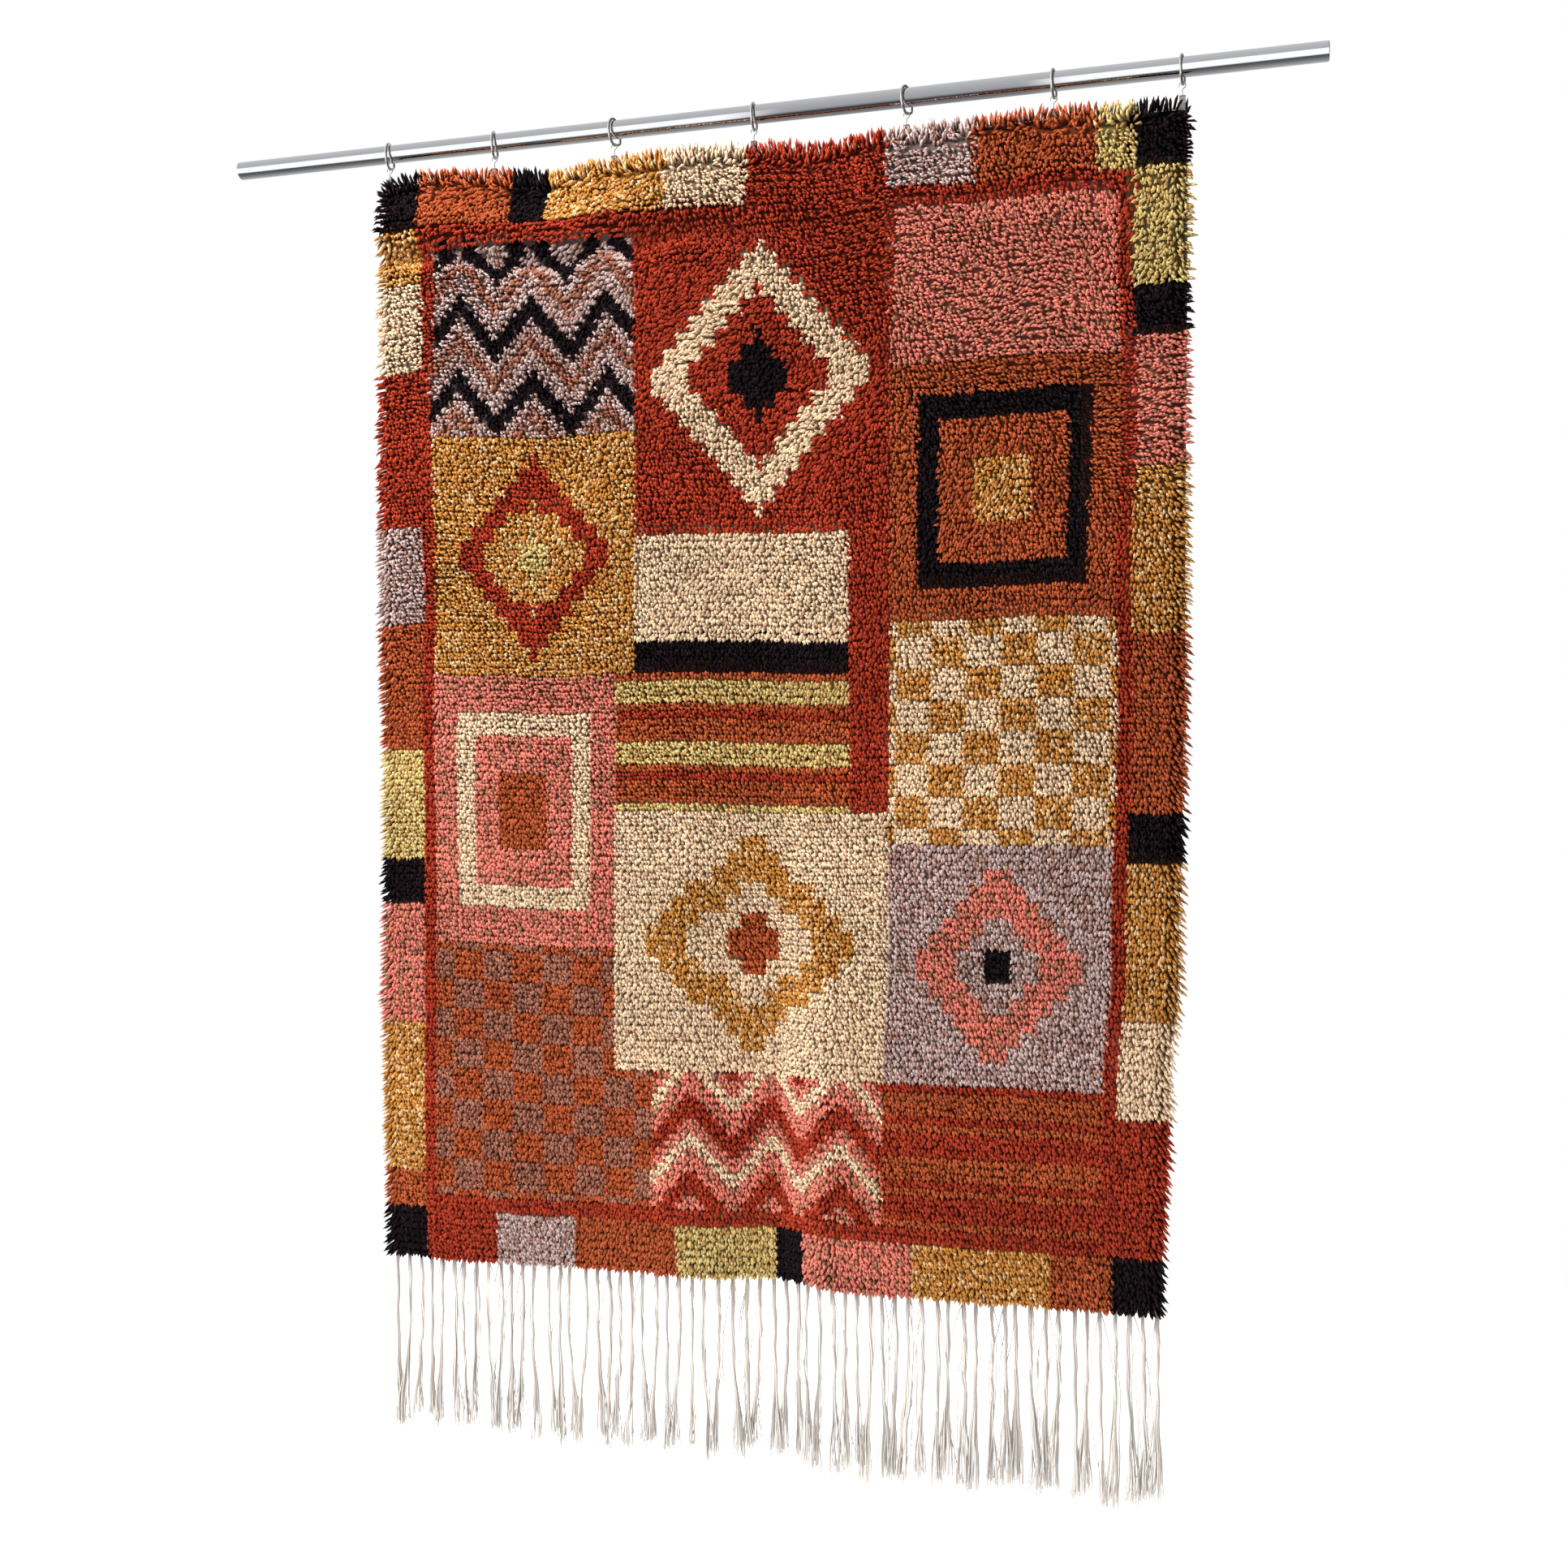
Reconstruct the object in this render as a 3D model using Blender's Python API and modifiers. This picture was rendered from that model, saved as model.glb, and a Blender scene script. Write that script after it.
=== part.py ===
"""Rya rug on a hanging rod: a knotted pile rug with a warp fringe, held by rings, hooks and clips.

The rod lies along X with its axis through the origin. The rug hangs in the XZ plane and faces -Y.
Lengths are in metres. Depth means the distance down from the rug's top edge.
"""

import math
import random
from collections import namedtuple

import bmesh
import bpy
from mathutils import Matrix, Vector

# Gap kept between pieces that touch, and the distance at which a mesh's points are welded
GAP = 0.0003
WELD = 0.00001

# Edges sharper than this are shaded sharp, and edges sharper than the second are broken
SHARP_EDGE = math.radians(40)
BROKEN_EDGE = math.radians(60)

# Part of a face's normal that runs along an axis, from which on the face looks along that axis
FACING = 0.8

# Looks, one row for each material slot
Finish = namedtuple("Finish", "colour roughness metallic")
CHROME = Finish((0.62, 0.63, 0.66), 0.06, 1.0)
BRIGHT_STEEL = Finish((0.55, 0.55, 0.54), 0.22, 1.0)
STEEL_WIRE = Finish((0.50, 0.50, 0.48), 0.30, 1.0)
CLIP_METAL = Finish((0.60, 0.60, 0.60), 0.25, 1.0)
WOOL = Finish((0.33, 0.10, 0.045), 0.95, 0.0)
COTTON = Finish((0.62, 0.56, 0.48), 0.90, 0.0)

# Rod
ROD_DIAMETER = 0.030
ROD_LEFT = -0.966
ROD_RIGHT = 0.887
ROD_SIDES = 32
ROD_EDGE = 0.001

# Hangers, one row for each ring with its hook and clip.
# x is the place along the rod and turn the ring's angle round the vertical, in degrees.
# edge is the height of the slab's top edge there. Up to the next row, sag is how far that edge
# drops (+) or lifts (-) halfway, and bow how far it swings back (+) or forwards (-).
Hanger = namedtuple("Hanger", "x turn edge sag bow")
HANGERS = (
    Hanger(-0.670, 10.5, -0.058, -0.005, -0.006),
    Hanger(-0.471, 12.5, -0.061, 0.008, 0.008),
    Hanger(-0.252, -5.5, -0.063, -0.004, -0.008),
    Hanger(-0.008, 4.5, -0.064, 0.008, 0.007),
    Hanger(0.246, -12.0, -0.061, 0.003, -0.007),
    Hanger(0.479, -4.0, -0.056, 0.004, -0.006),
    Hanger(0.674, -6.5, -0.062, 0.000, 0.000),
)

# Ring: round but for a bent corner at its lower back
RING_OUTER = 0.048
RING_WIRE = 0.0045
RING_ROUNDING = 2
RING_ARC_POINTS = 17
RING_ARC_END = math.radians(-12)
RING_CORNER = (0.0215, -0.0130)

# Hook: an open loop round the ring's lowest wire, and a shank down to the clip
HOOK_WIRE = 0.0013
HOOK_ROUNDING = 1
HOOK_LOOP_RADIUS = 0.0050
HOOK_LOOP_POINTS = 9
HOOK_LOOP_START = math.radians(205)
HOOK_LOOP_END = math.radians(-40)
HOOK_BEND = 0.22 * HOOK_LOOP_RADIUS

# Clip: a strip of sheet metal bent over the rug's top edge
CLIP_TOP = -0.044
CLIP_HEIGHT = 0.028
CLIP_WIDTH = 0.0095
CLIP_SHEET = 0.0012
CLIP_SHOULDER = 0.0008
WEB = 0.005

# Room round a clip's front jaw in the pile: across and through in all, and below it
SLOT_ACROSS = 4 * GAP
SLOT_THROUGH = 3 * GAP
SLOT_BELOW = 2 * GAP

# Rug slab
PILE_THICKNESS = 0.027
RIM_THICKNESS = 0.019
BOTTOM_EDGE = -1.910
COLUMNS = 24
FINE_ROWS = 9
COARSE_ROWS = 28
FINE_DEPTH = 0.20
FINE_LIMIT = 1.5 * FINE_DEPTH / FINE_ROWS

# Side edges of the slab, one row for each height, from the top down
Side = namedtuple("Side", "height left right")
SIDES = (
    Side(-0.06, -0.676, 0.682),
    Side(-0.87, -0.673, 0.678),
    Side(-1.39, -0.668, 0.668),
    Side(-1.55, -0.664, 0.654),
    Side(-1.91, -0.657, 0.642),
)

# Soft roll across the top left, a ridge with a hollow under it
ROLL_DEPTH = 0.100
ROLL_SWAY = 0.010
ROLL_SWAY_LENGTH = 0.55
ROLL_FORWARD = 0.014
ROLL_HOLLOW = 0.008
ROLL_HOLLOW_DROP = 0.048
ROLL_UPPER = 0.032
ROLL_LOWER = 0.024
ROLL_FADE = (-0.28, 0.08)
ROLL_KEPT = 0.25

# Vertical trough down the middle of the lower half
TROUGH_X = 0.040
TROUGH_LEFT = -0.140
TROUGH_RIGHT = 0.136
TROUGH_DEPTH = 0.046
TROUGH_START = 0.85
TROUGH_CREASE = 0.005

# Broad waves of the hanging cloth, one row each: depth of the wave, its lengths and phases
Wave = namedtuple("Wave", "size across down phase_x phase_z")
WAVES = (
    Wave(0.0060, 0.74, 1.30, 0.4, 1.1),
    Wave(0.0035, 0.43, 0.70, 2.1, 0.3),
)
WAVE_FADE = (0.03, 0.28)
BOW_FADE = 0.11

# Unevenness of the pile's face: its height, and the pace of two sine patterns in radians for each
# metre. Each has a share of the whole, and bend is how far the first one winds sideways.
LUMP = 0.0026
Ripple = namedtuple("Ripple", "across down phase share bend bend_down")
RIPPLES = (
    Ripple(43.0, 37.0, 0.6, 0.6, 1.7, 19.0),
    Ripple(29.0, -23.0, 2.0, 0.4, 0.0, 0.0),
)

# Locks at the slab's rim
LOCK_PIECES = 4
LOCK_REACH = (0.009, 0.017)
LOCK_TIP = 0.28
LOCK_LEAN = 0.30
LOCK_CLIP_ROOM = 0.013
LOCK_SEED = 7
# Which way the pile stands on each side, out of the cloth and a little forwards
LOCK_WAYS = {
    "top": (0.0, -0.25, 1.0),
    "bottom": (0.0, -0.20, -1.0),
    "left": (-1.0, -0.20, -0.25),
    "right": (1.0, -0.20, -0.25),
}

# Fringe: bundles hanging from a narrow strip under the slab
STRIP_THICKNESS = 0.0030
STRIP_HEIGHT = 0.006
STRANDS = 61
STRAND_WIDTH = 0.0050
STRAND_JITTER = 0.0028
STRAND_LENGTH = (0.290, 0.312)
STRAND_STOPS = (0.30, 0.60, 0.84, 1.00)
STRAND_WIDTHS = (0.0046, 0.0046, 0.0068, 0.0092)
STRAND_STRAIGHT = 0.35
STRAND_SWAY = 0.0035
STRAND_APART = 0.0026
STRAND_SEED = 11
# How many neighbours swing together at their ends, repeated along the edge
BUNCHES = (2, 1, 2, 3, 2, 2, 1, 2, 2, 3, 1, 2)

RING_RADIUS = (RING_OUTER - RING_WIRE) / 2
RING_CENTRE = ROD_DIAMETER / 2 + GAP - (RING_RADIUS - RING_WIRE / 2)
RING_FLOOR = RING_CENTRE - RING_RADIUS + RING_WIRE / 2
HOOK_CENTRE = RING_FLOOR + GAP + HOOK_WIRE / 2 - HOOK_LOOP_RADIUS
CLIP_HALF = WEB / 2 + GAP + CLIP_SHEET
SLAB_BACK = WEB / 2


def clear_scene():
    for old in list(bpy.data.objects):
        bpy.data.objects.remove(old, do_unlink=True)


def new_collection(name):
    made = bpy.data.collections.new(name)
    bpy.context.scene.collection.children.link(made)
    return made


def make_material(name, finish):
    made = bpy.data.materials.new(name)
    made.use_nodes = True
    shader = made.node_tree.nodes["Principled BSDF"]
    shader.inputs["Base Color"].default_value = (*finish.colour, 1.0)
    shader.inputs["Roughness"].default_value = finish.roughness
    shader.inputs["Metallic"].default_value = finish.metallic
    made.diffuse_color = (*finish.colour, 1.0)
    return made


def smooth(low, high, value):
    """Rises from 0 at low to 1 at high, level at both ends."""
    part = min(max((value - low) / (high - low), 0.0), 1.0)
    return part * part * (3.0 - 2.0 * part)


def span_of(x):
    """The hangers on both sides of x, and how far x is from the first to the second."""
    for first, second in zip(HANGERS, HANGERS[1:]):
        if x <= second.x:
            break
    part = (x - first.x) / (second.x - first.x)
    return first, second, min(max(part, 0.0), 1.0)


def top_edge(x):
    """Height of the slab's top edge, hung from its clips and sagging between them."""
    first, second, part = span_of(x)
    held = first.edge + (second.edge - first.edge) * smooth(0.0, 1.0, part)
    return held - first.sag * math.sin(math.pi * part) ** 2


def side_edges(height):
    """Left and right edge of the slab at a height."""
    for upper, lower in zip(SIDES, SIDES[1:]):
        if height >= lower.height:
            break
    part = smooth(upper.height, lower.height, height)
    left = upper.left + (lower.left - upper.left) * part
    return left, upper.right + (lower.right - upper.right) * part


def fold(x, depth):
    """How far back (+) or forwards (-) the cloth hangs at a place."""
    first, _, part = span_of(x)
    bow = first.bow * math.sin(math.pi * part) ** 2 * math.exp(-((depth / BOW_FADE) ** 2))
    ridge = ROLL_DEPTH + ROLL_SWAY * math.sin(2 * math.pi * x / ROLL_SWAY_LENGTH)
    width = ROLL_UPPER if depth < ridge else ROLL_LOWER
    strength = 1.0 - (1.0 - ROLL_KEPT) * smooth(*ROLL_FADE, x)
    roll = -ROLL_FORWARD * math.exp(-(((depth - ridge) / width) ** 2))
    hollow = ROLL_HOLLOW * math.exp(-(((depth - ridge - ROLL_HOLLOW_DROP) / ROLL_LOWER) ** 2))
    if x < TROUGH_X:
        across = smooth(TROUGH_LEFT, TROUGH_X, x)
    else:
        across = 1.0 - smooth(TROUGH_X, TROUGH_RIGHT, x)
    down = TROUGH_CREASE * smooth(*WAVE_FADE, depth)
    down += (TROUGH_DEPTH - TROUGH_CREASE) * smooth(TROUGH_START, -BOTTOM_EDGE, depth)
    waves = 0.0
    for wave in WAVES:
        across_part = math.sin(2 * math.pi * x / wave.across + wave.phase_x)
        waves += wave.size * across_part * math.cos(2 * math.pi * depth / wave.down + wave.phase_z)
    return bow + strength * (roll + hollow) + across * down + waves * smooth(*WAVE_FADE, depth)


def lump(x, depth):
    """Unevenness of the pile's face, from -1 to 1: a bent grid of knolls and a slanting ripple."""
    grid, slant = RIPPLES
    bent = grid.across * x + grid.bend * math.sin(grid.bend_down * depth)
    knolls = math.sin(bent) * math.cos(grid.down * depth + grid.phase)
    ripple = math.sin(slant.across * x + slant.down * depth + slant.phase)
    return grid.share * knolls + slant.share * ripple


def add_object(name, bm, collection, material):
    mesh = bpy.data.meshes.new(name)
    bm.to_mesh(mesh)
    bm.free()
    mesh.materials.append(material)
    made = bpy.data.objects.new(name, mesh)
    collection.objects.link(made)
    return made


def wire_curve(name, points, thickness, closed, rounding):
    """A wire of round section along straight steps between its points."""
    curve = bpy.data.curves.new(name, "CURVE")
    curve.dimensions = "3D"
    curve.bevel_depth = thickness / 2
    curve.bevel_resolution = rounding
    curve.use_fill_caps = not closed
    spline = curve.splines.new("POLY")
    spline.points.add(len(points) - 1)
    for point, place in zip(spline.points, points):
        point.co = (*place, 1.0)
    spline.use_cyclic_u = closed
    return curve


def curve_to_mesh(name, curve, matrix, collection, material):
    """Turns a curve into a closed mesh object with its caps welded on."""
    source = bpy.data.objects.new(name + "_curve", curve)
    collection.objects.link(source)
    source.matrix_world = matrix
    bpy.context.view_layer.update()
    graph = bpy.context.evaluated_depsgraph_get()
    mesh = bpy.data.meshes.new_from_object(source.evaluated_get(graph))
    bm = bmesh.new()
    bm.from_mesh(mesh)
    bmesh.ops.remove_doubles(bm, verts=bm.verts[:], dist=WELD)
    bmesh.ops.recalc_face_normals(bm, faces=bm.faces[:])
    bm.to_mesh(mesh)
    bm.free()
    mesh.materials.clear()
    mesh.materials.append(material)
    mesh.shade_smooth()
    mesh.set_sharp_from_angle(angle=SHARP_EDGE)
    made = bpy.data.objects.new(name, mesh)
    made.matrix_world = source.matrix_world
    collection.objects.link(made)
    bpy.data.objects.remove(source, do_unlink=True)
    return made


def make_rod(collection, material):
    """A plain round bar along X with slightly broken end edges."""
    length = ROD_RIGHT - ROD_LEFT
    bm = bmesh.new()
    bmesh.ops.create_cone(
        bm,
        cap_ends=True,
        segments=ROD_SIDES,
        radius1=ROD_DIAMETER / 2,
        radius2=ROD_DIAMETER / 2,
        depth=length,
        matrix=Matrix.Rotation(math.pi / 2, 4, "Y"),
    )
    rod = add_object("rod", bm, collection, material)
    rod.location.x = (ROD_LEFT + ROD_RIGHT) / 2
    rod.data.shade_smooth()
    rod.data.set_sharp_from_angle(angle=SHARP_EDGE)
    edge = rod.modifiers.new("broken_edge", "BEVEL")
    edge.width = ROD_EDGE
    edge.segments = 1
    edge.limit_method = "ANGLE"
    edge.angle_limit = BROKEN_EDGE
    return rod


def ring_points():
    """From the lowest point round the front and over the top, then down to the corner."""
    start = -math.pi / 2
    sweep = RING_ARC_END - 2 * math.pi - start
    points = []
    for step in range(RING_ARC_POINTS):
        angle = start + sweep * step / (RING_ARC_POINTS - 1)
        points.append((0.0, RING_RADIUS * math.cos(angle), RING_RADIUS * math.sin(angle)))
    points.append((0.0, *RING_CORNER))
    return points


def make_ring(name, hanger, collection, material):
    curve = wire_curve(name, ring_points(), RING_WIRE, True, RING_ROUNDING)
    place = Matrix.Translation((hanger.x, 0.0, RING_CENTRE))
    turn = Matrix.Rotation(math.radians(hanger.turn), 4, "Z")
    return curve_to_mesh(name, curve, place @ turn, collection, material)


def hook_points():
    """An open loop, then an S bend into a straight shank that ends on the clip."""
    points = []
    sweep = HOOK_LOOP_END - HOOK_LOOP_START
    for step in range(HOOK_LOOP_POINTS):
        angle = HOOK_LOOP_START + sweep * step / (HOOK_LOOP_POINTS - 1)
        points.append((
            HOOK_LOOP_RADIUS * math.cos(angle),
            0.0,
            HOOK_CENTRE + HOOK_LOOP_RADIUS * math.sin(angle),
        ))
    loop_floor = HOOK_CENTRE - HOOK_LOOP_RADIUS
    points.append((HOOK_BEND, 0.0, loop_floor))
    points.append((0.0, 0.0, loop_floor - HOOK_WIRE))
    points.append((0.0, 0.0, CLIP_TOP + GAP))
    return points


def make_hook(name, hanger, collection, material):
    curve = wire_curve(name, hook_points(), HOOK_WIRE, False, HOOK_ROUNDING)
    return curve_to_mesh(name, curve, Matrix.Translation((hanger.x, 0.0, 0.0)), collection, material)


def make_clip(name, hanger, collection, material):
    """A U bent from sheet, drawn as its outline seen from the end and extruded to its width."""
    inner = CLIP_HALF - CLIP_SHEET
    low = CLIP_TOP - CLIP_HEIGHT
    half = (
        (CLIP_HALF - CLIP_SHOULDER, CLIP_TOP),
        (CLIP_HALF, CLIP_TOP - CLIP_SHOULDER),
        (CLIP_HALF, low),
        (inner, low),
        (inner, CLIP_TOP - CLIP_SHEET),
    )
    outline = list(half) + [(-across, height) for across, height in reversed(half)]
    curve = bpy.data.curves.new(name, "CURVE")
    curve.dimensions = "2D"
    curve.fill_mode = "BOTH"
    curve.extrude = CLIP_WIDTH / 2
    spline = curve.splines.new("POLY")
    spline.points.add(len(outline) - 1)
    for point, (across, height) in zip(spline.points, outline):
        point.co = (across, height, 0.0, 1.0)
    spline.use_cyclic_u = True
    # The outline's own X becomes world Y, its Y becomes Z and its extrusion runs along X
    stand = Matrix(((0, 0, 1, hanger.x), (1, 0, 0, 0), (0, 1, 0, 0), (0, 0, 0, 1)))
    return curve_to_mesh(name, curve, stand, collection, material)


def row_depths():
    """Depth of each row of the slab, closer together where the roll is."""
    total = HANGERS[0].edge - BOTTOM_EDGE
    fine = [FINE_DEPTH * row / FINE_ROWS for row in range(FINE_ROWS)]
    rest = total - FINE_DEPTH
    return fine + [FINE_DEPTH + rest * row / COARSE_ROWS for row in range(COARSE_ROWS + 1)]


def slab_place(column, depth, total):
    """Place of the ground weave at a column, from 0 to 1, and a nominal depth."""
    left, right = side_edges(HANGERS[0].edge - depth)
    x = left + (right - left) * column
    top = top_edge(x)
    height = top + (BOTTOM_EDGE - top) * depth / total
    return x, top - height, height


def build_slab(bm):
    """The slab without locks: a grid for the back, pulled out to the pile's uneven face."""
    depths = row_depths()
    rows = len(depths) - 1
    column_of = bm.verts.layers.int.new("column")
    row_of = bm.verts.layers.int.new("row")
    level_of = bm.verts.layers.int.new("level")
    made = bmesh.ops.create_grid(bm, x_segments=COLUMNS, y_segments=rows, size=1.0)
    for vert in made["verts"]:
        column = round((vert.co.x + 1.0) / 2.0 * COLUMNS)
        row = round((1.0 - vert.co.y) / 2.0 * rows)
        x, depth, height = slab_place(column / COLUMNS, depths[row], depths[-1])
        vert[column_of] = column
        vert[row_of] = row
        vert.co = (x, SLAB_BACK + fold(x, depth), height)
    out = bmesh.ops.extrude_face_region(bm, geom=bm.faces[:], use_keep_orig=True)
    for vert in out["geom"]:
        if not isinstance(vert, bmesh.types.BMVert):
            continue
        rim = vert[column_of] in (0, COLUMNS) or vert[row_of] in (0, rows)
        depth = top_edge(vert.co.x) - vert.co.z
        thickness = RIM_THICKNESS if rim else PILE_THICKNESS + LUMP * lump(vert.co.x, depth)
        vert.co.y -= thickness
        vert[level_of] = 1
    return column_of, row_of, level_of, rows


def on_rim(edge, column_of, row_of, level_of, rows):
    """Whether an edge runs along the slab's outline on its back or its face, and is long."""
    first, second = edge.verts
    if first[level_of] != second[level_of]:
        return False
    if first[row_of] == second[row_of]:
        return first[row_of] in (0, rows)
    if first[column_of] == second[column_of] and first[column_of] in (0, COLUMNS):
        return min(first[row_of], second[row_of]) >= FINE_ROWS
    return False


def cut_rim(bm, layers):
    """Cuts the rim into two rows of short faces, the places for locks."""
    column_of, row_of, level_of, rows = layers
    through = [edge for edge in bm.edges if edge.verts[0][level_of] != edge.verts[1][level_of]]
    split = bmesh.ops.subdivide_edges(bm, edges=through, cuts=1, use_grid_fill=True)
    middle = {item for item in split["geom_inner"] if isinstance(item, bmesh.types.BMVert)}
    long_edges = []
    for edge in bm.edges:
        if all(vert in middle for vert in edge.verts):
            if edge.calc_length() > FINE_LIMIT:
                long_edges.append(edge)
        elif not any(vert in middle for vert in edge.verts):
            if on_rim(edge, column_of, row_of, level_of, rows):
                long_edges.append(edge)
    bmesh.ops.subdivide_edges(bm, edges=long_edges, cuts=LOCK_PIECES - 1, use_grid_fill=True)


def side_of(face):
    """Which side of the rug a rim face looks to, or None for its back and front."""
    across = face.normal.x
    up = face.normal.z
    if max(abs(across), abs(up)) < FACING:
        return None
    if abs(up) > abs(across):
        return "top" if up > 0 else "bottom"
    return "right" if across > 0 else "left"


def rim_pairs(bm, side):
    """Faces of the front and back row along one side of the rim, as pairs in order."""
    axis = 0 if side in ("top", "bottom") else 2
    faces = [face for face in bm.faces if side_of(face) == side]
    faces.sort(key=lambda face: face.calc_center_median()[axis])
    for first in range(0, len(faces) - 1, 2):
        yield sorted(faces[first:first + 2], key=lambda face: face.calc_center_median().y)


def lock_faces(bm):
    """Every other face along the rim, by turns in its front and back row."""
    bm.normal_update()
    chosen = []
    for side in LOCK_WAYS:
        for number, (front, back) in enumerate(rim_pairs(bm, side)):
            if number % 2 == 1:
                continue
            if side == "bottom" or number % 4 == 0:
                chosen.append(front)
                continue
            place = back.calc_center_median().x
            near_clip = any(abs(place - hanger.x) < LOCK_CLIP_ROOM for hanger in HANGERS)
            if side != "top" or not near_clip:
                chosen.append(back)
    return chosen


def grow_locks(bm):
    """Draws the chosen rim faces out into tapered, leaning locks."""
    draw = random.Random(LOCK_SEED)
    out = bmesh.ops.extrude_discrete_faces(bm, faces=lock_faces(bm))
    bm.normal_update()
    for face in sorted(out["faces"], key=lambda face: tuple(face.calc_center_median())):
        lean = Vector((draw.uniform(-1, 1), draw.uniform(-0.5, 0.5), draw.uniform(-1, 1)))
        way = Vector(LOCK_WAYS[side_of(face)]) + LOCK_LEAN * lean
        way *= draw.uniform(*LOCK_REACH) / way.length
        centre = face.calc_center_median()
        for vert in face.verts:
            vert.co = centre + (vert.co - centre) * LOCK_TIP + way


def make_slots(cutters):
    """Narrow boxes that leave room in the pile for the front jaw of each clip."""
    bm = bmesh.new()
    floor = CLIP_TOP - CLIP_HEIGHT - SLOT_BELOW
    height = CLIP_TOP - floor
    for hanger in HANGERS:
        size = (CLIP_WIDTH + SLOT_ACROSS, CLIP_SHEET + SLOT_THROUGH, height)
        centre = (hanger.x, -(WEB / 2 + GAP + CLIP_SHEET / 2), floor + height / 2)
        place = Matrix.Translation(centre) @ Matrix.Diagonal((*size, 1.0))
        bmesh.ops.create_cube(bm, size=1.0, matrix=place)
    mesh = bpy.data.meshes.new("clip_slots")
    bm.to_mesh(mesh)
    bm.free()
    slots = bpy.data.objects.new("clip_slots", mesh)
    slots.display_type = "WIRE"
    slots.hide_render = True
    cutters.objects.link(slots)
    return slots


def make_rug(collection, cutters, material):
    bm = bmesh.new()
    layers = build_slab(bm)
    cut_rim(bm, layers)
    bmesh.ops.recalc_face_normals(bm, faces=bm.faces[:])
    grow_locks(bm)
    bmesh.ops.triangulate(bm, faces=bm.faces[:])
    bmesh.ops.recalc_face_normals(bm, faces=bm.faces[:])
    rug = add_object("rug", bm, collection, material)
    cut = rug.modifiers.new("clip_slots", "BOOLEAN")
    cut.operation = "DIFFERENCE"
    cut.solver = "EXACT"
    cut.object = make_slots(cutters)
    return rug


def bottom_line():
    """The slab's bottom edge at its columns: places across and how far back it hangs."""
    depths = row_depths()
    line = []
    for column in range(COLUMNS + 1):
        x, depth, _ = slab_place(column / COLUMNS, depths[-1], depths[-1])
        line.append((x, fold(x, depth)))
    return line


def along_line(line, x):
    """Depth of fold on the straight steps between the columns of the bottom edge."""
    for (left, back_left), (right, back_right) in zip(line, line[1:]):
        if x <= right:
            break
    part = min(max((x - left) / (right - left), 0.0), 1.0)
    return back_left + (back_right - back_left) * part


def strand_plan(line):
    """For each strand its root, how far its end swings sideways, and its length."""
    draw = random.Random(STRAND_SEED)
    left = line[0][0] + STRAND_WIDTH
    pitch = (line[-1][0] - STRAND_WIDTH - left) / (STRANDS - 1)
    roots = []
    for number in range(STRANDS):
        inner = 0 < number < STRANDS - 1
        roots.append(left + pitch * number + inner * draw.uniform(-1, 1) * STRAND_JITTER)
    plan = []
    first = 0
    turn = 0
    while first < STRANDS:
        count = min(BUNCHES[turn % len(BUNCHES)], STRANDS - first)
        members = roots[first:first + count]
        middle = sum(members) / count + draw.uniform(-1, 1) * STRAND_SWAY
        for place, root in enumerate(members):
            apart = (place - (count - 1) / 2) * (STRAND_WIDTHS[-1] + STRAND_APART)
            plan.append((root, middle + apart - root, draw.uniform(*STRAND_LENGTH)))
        first += count
        turn += 1
    return plan


def near_strand(x, plan):
    """Whether a column of the slab falls within a strand's root."""
    return any(abs(x - root) < STRAND_WIDTH for root, _, _ in plan)


def make_fringe(collection, material):
    """A thin strip under the slab's ground, with each strand drawn out of its lower side."""
    line = bottom_line()
    plan = strand_plan(line)
    cuts = [line[0][0]]
    for root, _, _ in plan:
        cuts += [root - STRAND_WIDTH / 2, root + STRAND_WIDTH / 2]
    cuts.append(line[-1][0])
    corners = sorted(set(cuts) | {x for x, _ in line[1:-1] if not near_strand(x, plan)})
    bm = bmesh.new()
    made = bmesh.ops.create_grid(bm, x_segments=len(corners) - 1, y_segments=1, size=1.0)
    strip_top = BOTTOM_EDGE - GAP
    for vert in made["verts"]:
        x = corners[round((vert.co.x + 1.0) / 2.0 * (len(corners) - 1))]
        back = along_line(line, x) + vert.co.y * STRIP_THICKNESS / 2
        vert.co = (x, back, strip_top)
    out = bmesh.ops.extrude_face_region(bm, geom=bm.faces[:], use_keep_orig=True)
    for item in out["geom"]:
        if isinstance(item, bmesh.types.BMVert):
            item.co.z -= STRIP_HEIGHT
    bmesh.ops.recalc_face_normals(bm, faces=bm.faces[:])
    bm.normal_update()
    under = [face for face in bm.faces if face.normal.z < -FACING]
    under.sort(key=lambda face: face.calc_center_median().x)
    roots = []
    for root, _, _ in plan:
        roots.append(min(under, key=lambda face: abs(face.calc_center_median().x - root)))
    grow_strands(bm, roots, plan)
    bmesh.ops.recalc_face_normals(bm, faces=bm.faces[:])
    return add_object("fringe", bm, collection, material)


def grow_strands(bm, faces, plan):
    """Draws each root face down in steps, straight at first and then towards its bunch."""
    starts = [face.calc_center_median().copy() for face in faces]
    for stop, width in zip(STRAND_STOPS, STRAND_WIDTHS):
        out = bmesh.ops.extrude_discrete_faces(bm, faces=faces)
        faces = sorted(out["faces"], key=lambda face: face.calc_center_median().x)
        for face, start, (_, swing, length) in zip(faces, starts, plan):
            centre = face.calc_center_median().copy()
            aside = swing * smooth(STRAND_STRAIGHT, 1.0, stop)
            target = start + Vector((aside, 0.0, -length * stop))
            for vert in face.verts:
                side = 1.0 if vert.co.x > centre.x else -1.0
                front = 1.0 if vert.co.y > centre.y else -1.0
                vert.co = target + Vector((side * width / 2, front * STRIP_THICKNESS / 2, 0.0))


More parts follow.
